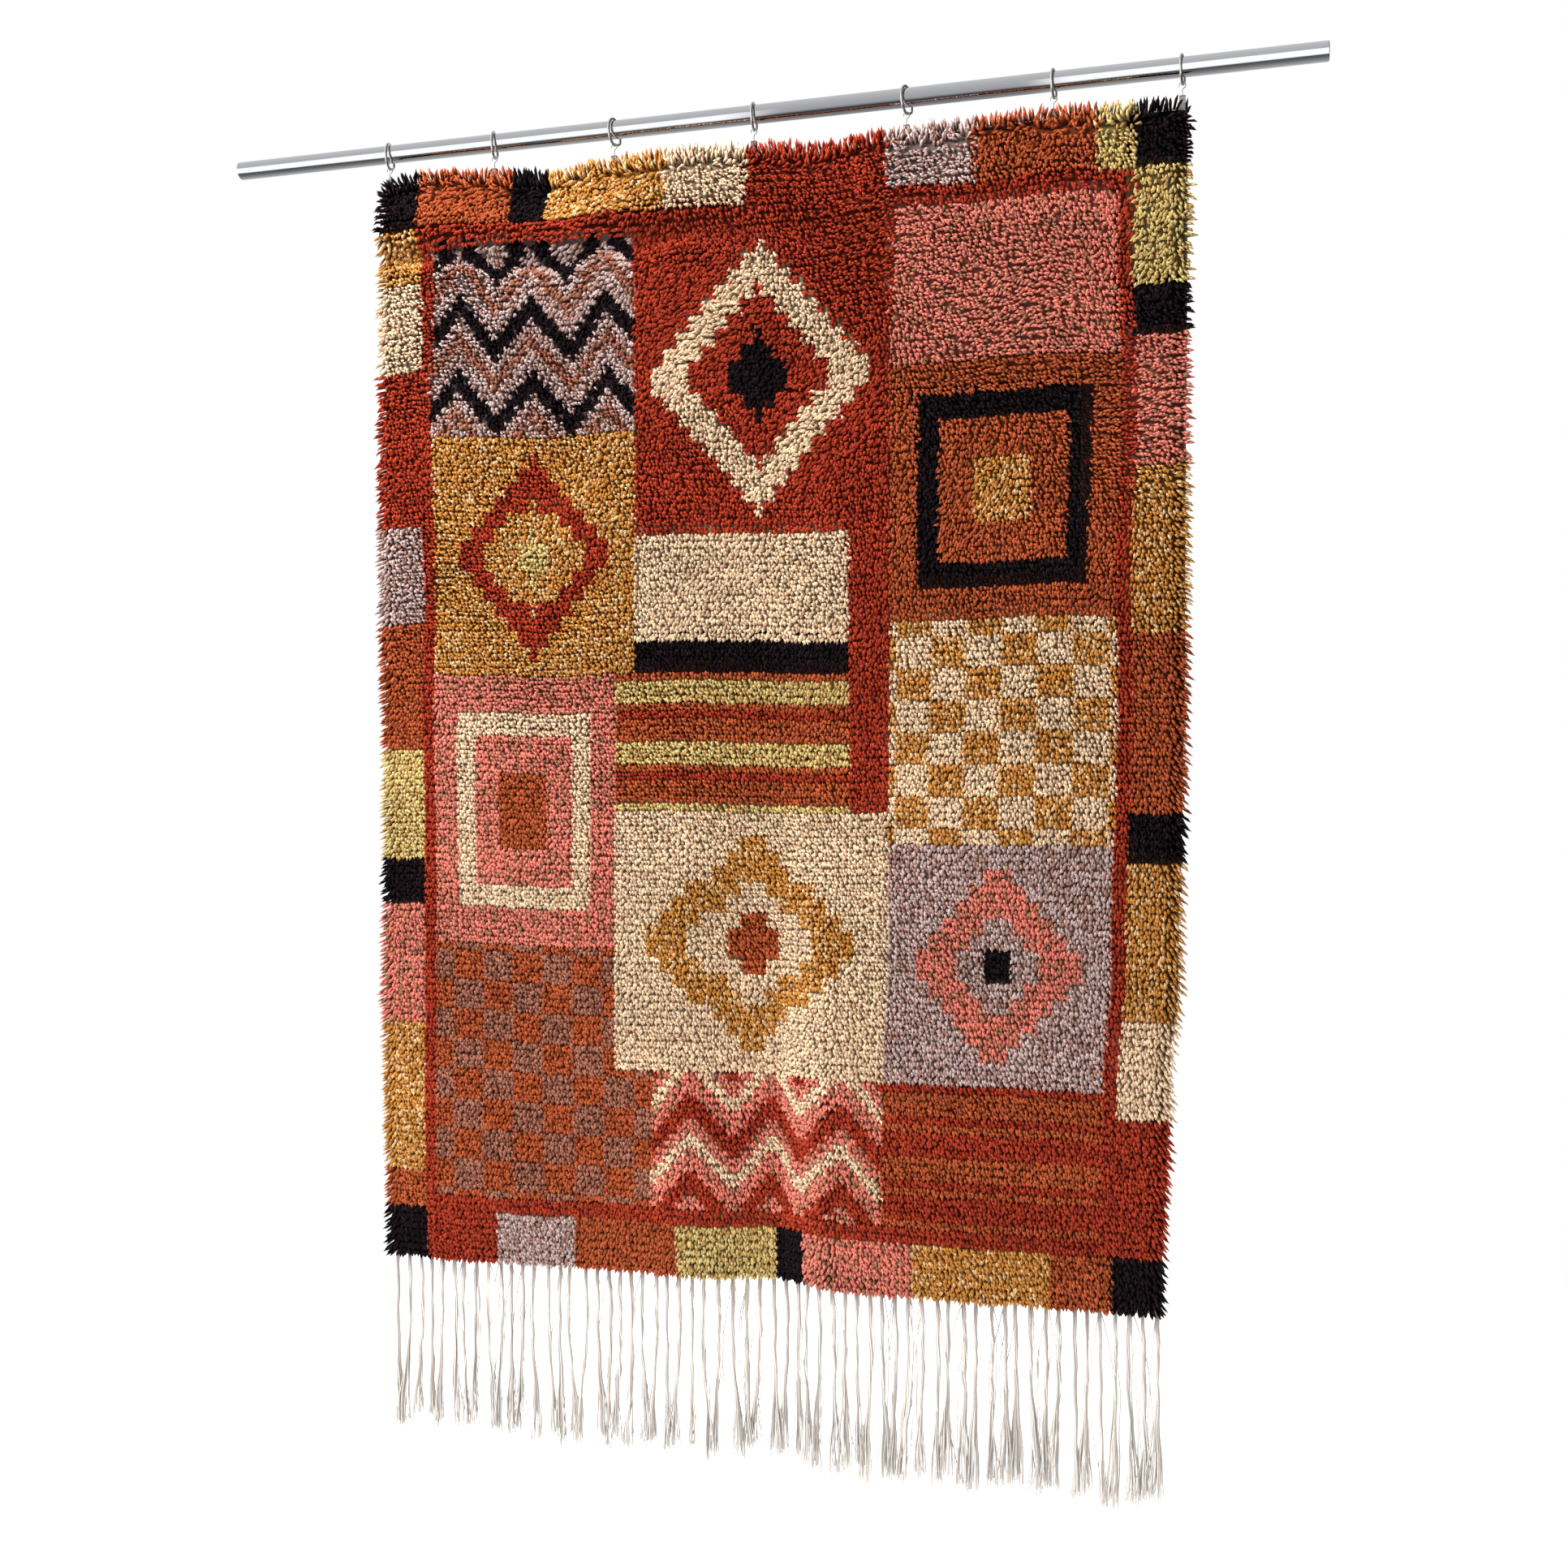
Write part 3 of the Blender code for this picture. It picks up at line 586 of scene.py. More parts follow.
def dye_shell(piece, design, shade, edge_colour, rim):
    """The yarns' colours on both sides of a shell, by a factor, which below 1 is painted shade, and one
    colour on its rim.
    """
    knots = np.repeat(yarn_colours("colour")[design.ravel()], 4, axis=0) * shade
    edges = np.tile(linear(edge_colour)[:3], (rim.size, 1))
    add_colours(piece, np.concatenate([knots, knots, edges]), "CORNER")


def add(tree, kind, links=None, **settings):
    """Adds a node. settings are its own properties. links gives an input, by name or number, what
    feeds it: a socket, a node whose first output in use is meant, or a value."""
    made = tree.nodes.new("ShaderNode" + kind)
    for name, value in settings.items():
        setattr(made, name, value)
    for name, value in (links or {}).items():
        if isinstance(value, bpy.types.Node):
            value = next(socket for socket in value.outputs if socket.enabled)
        if isinstance(value, bpy.types.NodeSocket):
            tree.links.new(value, made.inputs[name])
        else:
            made.inputs[name].default_value = value
    return made


def new_material(name):
    """A material with an empty node tree."""
    made = bpy.data.materials.new(name)
    made.use_nodes = True
    made.node_tree.nodes.clear()
    return made, made.node_tree


def twist_bump(tree, strength, distance):
    """Bump of a yarn's plies, as a sine wave that slants across its twist map."""
    twist = add(tree, "UVMap", uv_map="twist")
    parts = add(tree, "SeparateXYZ", {0: twist})
    slant = add(tree, "Math", {0: parts.outputs["X"], 1: parts.outputs["Y"]}, operation="ADD")
    wave = add(tree, "Math", {0: slant, 1: 4 * math.pi}, operation="MULTIPLY")
    ridge = add(tree, "Math", {0: wave}, operation="SINE")
    return add(tree, "Bump", {"Height": ridge, "Strength": strength, "Distance": distance})


def knotted_wool():
    """Two-ply rya wool, hand-spun and piece-dyed: a matt, slightly furry yarn. The eye sees soft
    light along its edges, fine streaks of fibre and the slant of the twist."""
    made, tree = new_material("hand_spun_rya_wool")
    yarn = add(tree, "Attribute", attribute_name="yarn")
    place = add(tree, "TexCoord")
    fibres = add(tree, "TexNoise", {"Vector": place.outputs["Object"], "Scale": 420.0, "Detail": 3.0})
    spread = add(tree, "MapRange", {"Value": fibres, "To Min": 0.74, "To Max": 1.26})
    colour = add(tree, "VectorMath", {0: yarn, "Scale": spread}, operation="SCALE")
    shader = add(tree, "BsdfPrincipled", {
        "Base Color": colour,
        "Roughness": 0.90,
        "Specular IOR Level": 0.12,
        "Sheen Weight": 0.12,
        "Sheen Roughness": 0.40,
        "Sheen Tint": colour,
        "Normal": twist_bump(tree, 0.5, 0.0004),
    })
    add(tree, "OutputMaterial", {"Surface": shader})
    return made


def cotton_warp():
    """Unbleached cotton warp, let down and unravelled: dull off-white threads with greyer ones
    among them. The eye sees fine lines along the thread and a soft, dusty edge."""
    made, tree = new_material("unbleached_cotton_warp")
    yarn = add(tree, "Attribute", attribute_name="yarn")
    shader = add(tree, "BsdfPrincipled", {
        "Base Color": yarn,
        "Roughness": 0.90,
        "Specular IOR Level": 0.20,
        "Sheen Weight": 0.30,
        "Sheen Roughness": 0.5,
        "Normal": twist_bump(tree, 0.3, 0.0002),
    })
    add(tree, "OutputMaterial", {"Surface": shader})
    return made


def ground_weave():
    """Weft-faced wool ground of a rya rug: close ribs across a hidden warp. On the back the eye
    sees a row of small nubs in the pile's colours between bands of plain greyish-brown weft."""
    made, tree = new_material("weft_faced_wool_ground")
    yarn = add(tree, "Attribute", attribute_name="yarn")
    knots = add(tree, "UVMap", uv_map="knots")
    parts = add(tree, "SeparateXYZ", {0: knots})
    column = add(tree, "Math", {0: parts.outputs["X"], 1: 0.25}, operation="PINGPONG")
    row = add(tree, "Math", {0: parts.outputs["Y"], 1: 0.5}, operation="PINGPONG")
    both = add(tree, "Math", {0: column, 1: 0.76, 2: row}, operation="MULTIPLY_ADD")
    nub = add(tree, "MapRange", {"Value": both, "From Min": 0.43, "From Max": 0.49})
    ribs = add(tree, "Math", {0: parts.outputs["Y"], 1: 12 * math.pi}, operation="MULTIPLY")
    rib = add(tree, "Math", {0: ribs}, operation="SINE")
    place = add(tree, "TexCoord")
    fibres = add(tree, "TexNoise", {"Vector": place.outputs["Object"], "Scale": 260.0, "Detail": 3.0})
    weft = {"Factor": fibres, "A": linear("#6f5a4b"), "B": linear("#8f7a68")}
    weft = add(tree, "Mix", weft, data_type="RGBA")
    colour = add(tree, "Mix", {"Factor": nub, "A": weft, "B": yarn}, data_type="RGBA")
    relief = add(tree, "Math", {0: rib, 1: 0.25, 2: nub}, operation="MULTIPLY_ADD")
    bump = add(tree, "Bump", {"Height": relief, "Strength": 0.8, "Distance": 0.0010})
    shader = add(tree, "BsdfPrincipled", {
        "Base Color": colour,
        "Roughness": 0.92,
        "Specular IOR Level": 0.15,
        "Sheen Weight": 0.10,
        "Normal": bump,
    })
    add(tree, "OutputMaterial", {"Surface": shader})
    return made


def metal(name, code, roughness, streak_scale, streaks, wobble):
    """A bright metal: its colour, and a noise stretched along X that makes the surface a little
    duller in streaks of 1 / streak_scale metres and bends its reflections by wobble metres."""
    made, tree = new_material(name)
    place = add(tree, "TexCoord")
    drawn = add(tree, "Mapping", {"Vector": place.outputs["Object"], "Scale": (0.04, 1.0, 1.0)})
    grain = add(tree, "TexNoise", {"Vector": drawn, "Scale": streak_scale, "Detail": 4.0})
    least, most = roughness * (1 - streaks), roughness * (1 + streaks)
    dull = add(tree, "MapRange", {"Value": grain, "To Min": least, "To Max": most})
    uneven = add(tree, "TexNoise", {"Vector": drawn, "Scale": 70.0, "Detail": 1.0})
    bump = add(tree, "Bump", {"Height": uneven, "Strength": 1.0, "Distance": wobble})
    shader = add(tree, "BsdfPrincipled", {
        "Base Color": linear(code),
        "Metallic": 1.0,
        "Roughness": dull,
        "Normal": bump,
    })
    add(tree, "OutputMaterial", {"Surface": shader})
    return made


def run_colours(start, total):
    """The border's colours, one for each knot along a side, as runs repeated from a start."""
    names = list(YARNS)
    cycle = np.concatenate([np.full(length, names.index(name)) for name, length in BORDER_RUNS])
    return cycle[(np.arange(total) + start) % len(cycle)]


def figures(patch, x, y):
    """Where a patch's figure and its core are, for knots at x and y from the patch's middle.
    diamond: stepped rings of equal |x| / width + |y| / height. frames: rings of the larger of the
    two. zigzag: lines of equal y + a folded x. checks and bars: squares and rows by turns."""
    half_x = (patch.right - patch.left) / 2
    half_y = (patch.bottom - patch.top) / 2
    nowhere = np.zeros(x.shape, bool)
    if patch.motif == "diamond":
        far = np.ceil(np.abs(x) / 2) * 2 / half_x + np.ceil(np.abs(y) / 2) * 2 / half_y
        return (far > DIAMOND_RING[0]) & (far < DIAMOND_RING[1]), far < DIAMOND_CORE
    if patch.motif == "frames":
        far = np.maximum(np.abs(x) / half_x, np.abs(y) / half_y)
        return (far > FRAME_RING[0]) & (far < FRAME_RING[1]), far < FRAME_CORE
    if patch.motif == "zigzag":
        line = np.mod(y + np.abs(np.mod(x, ZIGZAG_WIDTH) - ZIGZAG_WIDTH / 2), ZIGZAG_LINE)
        return line < 3, (line >= 5) & (line < 7)
    if patch.motif == "checks":
        return (np.floor(x / CHECK_SIZE[0]) + np.floor(y / CHECK_SIZE[1])) % 2 == 0, nowhere
    if patch.motif == "bars":
        line = np.mod(y, BAR_HEIGHT)
        return line < 3, (line >= 4) & (line < 5)
    return nowhere, nowhere


def knotted_design(columns, rows):
    """Number of the yarn of every knot, as rows of columns: a border of blocks with dark corners,
    a narrow guard line, and a field of patches with simple stepped figures."""
    names = list(YARNS)
    design = np.full((rows, columns), names.index("brick"))
    design[:, :BORDER_COLUMNS] = run_colours(BORDER_STARTS["left"], rows)[:, None]
    design[:, -BORDER_COLUMNS:] = run_colours(BORDER_STARTS["right"], rows)[:, None]
    design[:BORDER_ROWS, :] = run_colours(BORDER_STARTS["top"], columns)[None, :]
    design[-BORDER_ROWS:, :] = run_colours(BORDER_STARTS["bottom"], columns)[None, :]
    wide, high = CORNER_BLOCK
    for row in (slice(0, high), slice(-high, None)):
        for column in (slice(0, wide), slice(-wide, None)):
            design[row, column] = names.index("night")
    for patch in PATCHES:
        right = min(patch.right, columns - BORDER_COLUMNS - GUARD_WIDTH)
        bottom = min(patch.bottom, rows - BORDER_ROWS - GUARD_WIDTH)
        y, x = np.mgrid[patch.top:bottom, patch.left:right]
        from_x = x - (patch.left + right - 1) / 2
        figure, core = figures(patch, from_x, y - (patch.top + bottom - 1) / 2)
        block = np.full(x.shape, names.index(patch.ground))
        block[figure] = names.index(patch.figure)
        block[core] = names.index(patch.core)
        design[patch.top:bottom, patch.left:right] = block
    return design


def abrash(across, down):
    """Uneven dye: slow bands down the rug and a weaker drift across it."""
    bands = np.sin(61.0 * down + 2.0 * np.sin(5.0 * across)) + 0.6 * np.sin(23.0 * down + 1.0)
    return 1.0 + ABRASH_BANDS * bands + ABRASH_DRIFT * np.sin(9.0 * across + 4.0 * down)


def lean(places):
    """Which way the pile leans, as a share to the right and a share down, how lively it is and
    how near the rim. It hangs down at an angle that drifts over the rug as a sum of sine waves,
    stands up along the top edge, falls back over the clips and leans out along the sides."""
    x = places[..., 0]
    depth = top_edge(x) - places[..., 2]
    lively = 1.0 - (1.0 - DRIFT_KEPT) * smooth(*DRIFT_FADE, depth)
    drift = sum(one.size * np.sin(one.across * x + one.down * depth + one.phase) for one in DRIFTS)
    drift = drift * lively
    left, right = side_edges(places[..., 2])
    to_left = 1.0 - smooth(0.0, RIM_STRIP, x - left)
    to_right = 1.0 - smooth(0.0, RIM_STRIP, right - x)
    parting = PARTING + PARTING_SWAY * np.sin(PARTING_PACE * x)
    up = 1.0 - smooth(0.35 * parting, 1.65 * parting, depth)
    gap = x[..., None] - HANGER_X
    nearest = np.abs(gap).argmin(axis=-1)[..., None]
    gap = np.take_along_axis(gap, nearest, axis=-1)[..., 0]
    beside = up * np.exp(-((gap / CLIP_WIDTH) ** 2) / 2)
    aside = np.sin(drift) * (1.0 - up) + RIM_LEAN * (to_right - to_left)
    aside = aside - CLIP_COVER * np.sign(gap) * beside
    under = np.cos(drift) * (1.0 - up) - UP_LEAN * up
    return aside, under, lively, np.maximum(np.maximum(to_left, to_right), up)


def clip_room(places):
    """1 beside the clips and 0 away from them, for a place's distance from a clip's jaw."""
    near = np.min(np.abs(places[..., 0, None] - HANGER_X), axis=-1)
    below = CLIP_TOP - CLIP_HEIGHT - places[..., 2]
    return (1.0 - smooth(*CLIP_NEAR, near)) * (1.0 - smooth(*CLIP_BELOW, below))


def bed_height(rug, across, down, places):
    """Height of the knot bed over the ground weave: uneven, rounded off at the rim by a square
    root, and low beside the clips."""
    sides = np.minimum(across, 1 - across) * rug.knots_across
    ends = np.minimum(down, 1 - down) * rug.knots_down
    rise = np.sqrt(np.clip(np.minimum(sides, ends) / BED_RISE, 0.0, 1.0))
    depth = top_edge(places[..., 0]) - places[..., 2]
    height = (rug.bed + 0.5 * LUMP * lump(places[..., 0], depth)) * (BED_RIM + (1.0 - BED_RIM) * rise)
    return height * (1.0 - CLIP_FLAT * clip_room(places))


def add_bar(name, paths, radii, sides, sideways, material, slot, node):
    """A piece made by one sweep, with its sharp edges shaded so."""
    made = sweep(paths, radii, sides, sideways)
    piece = add_piece(name, made.places, made.faces, material)
    piece.data.set_sharp_from_angle(angle=SHARP_EDGE)
    dress(piece, slot, node)


def dress(piece, slot, *nodes):
    """Fixes a new piece to the part's one body and hides the solids it stands for. Its slot is not used."""
    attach(piece, "root")
    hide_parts(*nodes)


def add_yarn_maps(piece, made, cells, columns, rows, turns):
    """A UV map for baking, in which every path has its own cell of a grid, side by side, and one
    with the place round the yarn and the turns of its twist along it."""
    cell = cells[made.corner_path]
    u = (cell[:, 0] + 0.04 + 0.92 * made.around) / columns
    v = (cell[:, 1] + made.along) / rows
    add_map(piece, "OFBake", np.stack([u, v], axis=1))
    add_map(piece, "twist", np.stack([made.around, turns * made.along], axis=1))


class RugSettings(bpy.types.PropertyGroup):
    """Sizes of the knotted rug."""

    knots_across: IntProperty(
        name="Knots across", description="Knots in one row", default=122, min=60, max=160,
    )
    knots_down: IntProperty(
        name="Knots down", description="Rows of knots", default=146, min=60, max=180,
    )
    locks: IntProperty(name="Locks", description="Yarn ends of each knot", default=4, min=1, max=5)
    lock_width: FloatProperty(
        name="Yarn width", description="Width of a yarn end", default=0.0056, unit="LENGTH",
    )
    lock_lean: FloatProperty(
        name="Pile lean", description="How far a yarn end leans over", default=0.0115, unit="LENGTH",
    )
    bed: FloatProperty(
        name="Knot bed", description="Height of the dense lower pile", default=0.0150, unit="LENGTH",
    )
    spread: FloatProperty(
        name="Spread", description="Scatter of the pile's direction", default=0.38, min=0.0, max=1.0,
    )


class FringeSettings(bpy.types.PropertyGroup):
    """Sizes of the fringe."""

    threads: IntProperty(
        name="Threads", description="Threads in each bundle", default=24, min=4, max=26,
    )
    thread: FloatProperty(
        name="Thread", description="Width of one thread", default=0.0019, unit="LENGTH",
    )
    bundle: FloatProperty(
        name="Bundle", description="Half width of a bundle", default=0.0030, unit="LENGTH",
    )
    fray: FloatProperty(
        name="Fray", description="Half width of a frayed end", default=0.0120, unit="LENGTH",
    )
    colour: FloatVectorProperty(
        name="Colour", description="Colour of the cotton", subtype="COLOR", size=4,
        default=linear("#cbc4bd"),
    )


class StageSettings(bpy.types.PropertyGroup):
    """Floor, light and camera."""

    floor_drop: FloatProperty(
        name="Floor drop", description="Fringe to floor", default=0.30, unit="LENGTH",
    )
    floor_size: FloatProperty(
        name="Floor size", description="Radius of the floor", default=3.2, unit="LENGTH",
    )
    floor_glow: FloatProperty(
        name="Floor glow", description="Light of the floor's own", default=0.75, min=0.0,
    )
    key: FloatProperty(
        name="Key light", description="Power of the large soft light", default=470.0, unit="POWER",
    )
    sky: FloatProperty(
        name="Sky", description="Strength of the light all round", default=0.60, min=0.0,
    )
    shine: FloatProperty(
        name="Shine", description="Strength of what the chrome shows", default=1.25, min=0.0,
    )


class RYA_OT_rod(bpy.types.Operator):
    """Turns the rod: a plain round bar with slightly broken end edges"""

    bl_idname = "rya.rod"
    bl_label = "Rod"

    def execute(self, context):
        chrome = metal("polished_chrome_tube", "#e6e8ec", 0.045, 240.0, 0.5, 0.00045)
        between = np.linspace(ROD_LEFT + 0.02, ROD_RIGHT - 0.02, ROD_RINGS)
        left = [ROD_LEFT, ROD_LEFT + ROD_EDGE]
        x = np.concatenate([left, between, [ROD_RIGHT - ROD_EDGE, ROD_RIGHT]])
        radii = np.full(len(x), ROD_DIAMETER / 2)
        radii[[0, -1]] -= ROD_EDGE
        path = np.stack([x, 0 * x, 0 * x], axis=-1)[None]
        up = np.array([0.0, 0.0, 1.0])
        add_bar("chrome_rod", path, radii[None], ROD_SIDES, up, chrome, "chrome", "rod")
        return {"FINISHED"}


class RYA_OT_rings(bpy.types.Operator):
    """Bends the wire rings: round, with a corner at the lower back and a cut at the bottom"""

    bl_idname = "rya.rings"
    bl_label = "Rings"

    def execute(self, context):
        steel = metal("nickel_plated_steel_wire", "#e2e0dc", 0.20, 900.0, 0.4, 0.00005)
        angle = np.linspace(-np.pi / 2, RING_ARC_END - 2 * np.pi, RING_ARC_POINTS)
        arc = RING_RADIUS * np.stack([0 * angle, np.cos(angle), np.sin(angle)], axis=-1)
        corner = np.array([0.0, *RING_CORNER])
        foot = arc[0]
        stop = foot + unit(corner - foot) * (RING_WIRE / 2 + RING_CUT)
        tail = round_off([arc[-1], corner, stop], 3)
        line = np.concatenate([arc, tail[1:]])
        for number, hanger in enumerate(HANGERS, 1):
            turn = math.radians(hanger.turn)
            x = hanger.x - line[:, 1] * math.sin(turn)
            y = line[:, 1] * math.cos(turn)
            path = np.stack([x, y, RING_CENTRE + line[:, 2]], axis=-1)[None]
            across = np.array([math.cos(turn), math.sin(turn), 0.0])
            name, node = f"wire_ring_{number}", f"ring_{number}"
            add_bar(name, path, RING_WIRE / 2, RING_SIDES, across, steel, "ring_steel", node)
        return {"FINISHED"}


class RYA_OT_hooks(bpy.types.Operator):
    """Bends the wire hooks: an open loop, an S bend and a straight shank"""

    bl_idname = "rya.hooks"
    bl_label = "Hooks"

    def execute(self, context):
        wire = metal("bright_steel_wire", "#cfcdc8", 0.22, 1200.0, 0.3, 0.00002)
        angle = np.linspace(HOOK_LOOP_START, HOOK_LOOP_END, HOOK_LOOP_POINTS)
        x = HOOK_LOOP_RADIUS * np.cos(angle)
        z = HOOK_CENTRE + HOOK_LOOP_RADIUS * np.sin(angle)
        floor = HOOK_CENTRE - HOOK_LOOP_RADIUS
        shank = [(x[-1], z[-1]), (HOOK_BEND, floor), (0.0, floor - HOOK_WIRE), (0.0, CLIP_TOP + GAP)]
        line = np.concatenate([np.stack([x, z], axis=-1), round_off(shank, 3)[1:]])
        for number, hanger in enumerate(HANGERS, 1):
            path = np.stack([hanger.x + line[:, 0], 0 * line[:, 0], line[:, 1]], axis=-1)[None]
            name, node = f"wire_hook_{number}", f"hook_{number}"
            add_bar(name, path, HOOK_WIRE / 2, HOOK_SIDES, BACK, wire, "hook_wire", node)
        return {"FINISHED"}


class RYA_OT_clips(bpy.types.Operator):
    """Presses the clips: a U of sheet metal with three lines pressed across each jaw"""

    bl_idname = "rya.clips"
    bl_label = "Clips"

    def execute(self, context):
        sheet = metal("pressed_plated_sheet", "#b3b0aa", 0.22, 700.0, 0.4, 0.00004)
        outline = self.outline()
        count = len(outline)
        number = np.arange(count)
        after = (number + 1) % count
        sides = np.stack([number, number + count, after + count, after], axis=-1)
        faces = [sides, number[None], number[::-1][None] + count]
        for place, hanger in enumerate(HANGERS, 1):
            left = np.column_stack([np.full(count, hanger.x - CLIP_WIDTH / 2), outline])
            right = np.column_stack([np.full(count, hanger.x + CLIP_WIDTH / 2), outline])
            piece = add_piece(f"sheet_clip_{place}", np.concatenate([left, right]), faces, sheet)
            piece.data.set_sharp_from_angle(angle=SHARP_EDGE)
            edge = piece.modifiers.new("rounded_edges", "BEVEL")
            edge.width = CLIP_ROUNDING
            edge.segments = 2
            edge.angle_limit = math.radians(60)
            dress(piece, "clip_sheet", f"clip_{place}")
        return {"FINISHED"}

    def outline(self):
        """Section of the clip: up the front, over the top in two quarter rounds and down the back,
        then back along its inner side. A bell-shaped rise on the outer side is a pressed line."""
        low = CLIP_TOP - CLIP_HEIGHT
        height = np.linspace(low, CLIP_TOP - CLIP_ROUND, 40)
        below = CLIP_TOP - height
        rise = sum(np.exp(-(((below - line) / CLIP_LINE_WIDTH) ** 2)) for line in CLIP_LINES)
        jaw = CLIP_HALF + CLIP_LINE_RISE * rise
        turn = np.linspace(0.0, np.pi / 2, 7)[1:]
        half_y = np.concatenate([jaw, CLIP_HALF - CLIP_ROUND + CLIP_ROUND * np.cos(turn)])
        half_z = np.concatenate([height, CLIP_TOP - CLIP_ROUND + CLIP_ROUND * np.sin(turn)])
        inner = CLIP_HALF - CLIP_SHEET
        under = CLIP_TOP - CLIP_SHEET
        inside = np.array([(inner, low), (inner, under), (-inner, under), (-inner, low)])
        front = np.stack([-half_y, half_z], axis=-1)
        back = np.stack([half_y, half_z], axis=-1)[::-1]
        return np.concatenate([front, back, inside])


class RYA_OT_ground_weave(bpy.types.Operator):
    """Weaves the ground: a closed sheet that follows the hanging cloth"""

    bl_idname = "rya.ground_weave"
    bl_label = "Ground weave"

    def execute(self, context):
        rug = context.scene.rya_rug
        across, down = cloth_grid(rug.knots_across, rug.knots_down)
        middle = cloth(across, down)
        _, _, out = cloth_ways(across, down)
        sides = np.minimum(across, 1 - across) * rug.knots_across
        edge = np.clip(np.minimum(sides, (1 - down) * rug.knots_down), 0.0, 1.0)
        half = (WEB / 2 * (0.45 + 0.55 * np.sqrt(edge)))[..., None]
        places, faces = shell(middle + out * half, middle - out * half)
        piece = add_piece("ground_weave", places, faces, ground_weave())
        map_shell(piece, "knots", faces, across[0] * rug.knots_across, down[:, 0] * rug.knots_down)
        design = knotted_design(rug.knots_across, rug.knots_down)
        dye_shell(piece, design, 1.0, "#7d6757", faces[2])
        dress(piece, "wool", "rug")
        return {"FINISHED"}


class RYA_OT_knot_bed(bpy.types.Operator):
    """Builds the dense lower part of the pile, in which the yarn ends stand, with painted shade: its
    colours are darkened for the shadow between them
    """

    bl_idname = "rya.knot_bed"
    bl_label = "Knot bed"

    def execute(self, context):
        rug = context.scene.rya_rug
        columns, rows = rug.knots_across // 2, rug.knots_down // 2
        across, down = cloth_grid(columns, rows)
        inset_across = 0.002 + 0.996 * across
        inset_down = 0.003 + 0.995 * down
        middle = cloth(inset_across, inset_down)
        _, _, out = cloth_ways(inset_across, inset_down)
        height = bed_height(rug, across, down, middle)
        back = middle + out * (WEB / 2 + GAP)
        places, faces = shell(back + out * height[..., None], back)
        piece = add_piece("knot_bed", places, faces, knotted_wool())
        design = knotted_design(rug.knots_across, rug.knots_down)[1:2 * rows:2, 1:2 * columns:2]
        # Painted shade: the bed takes its yarn colours darkened by the painted-shade factor, and a dark
        # brown on its rim
        dye_shell(piece, design, BED_PAINTED_SHADE, "#2a1a14", faces[2])
        map_shell(piece, "twist", faces, across[0] * columns, down[:, 0] * rows)
        dress(piece, "wool", "rug")
        return {"FINISHED"}


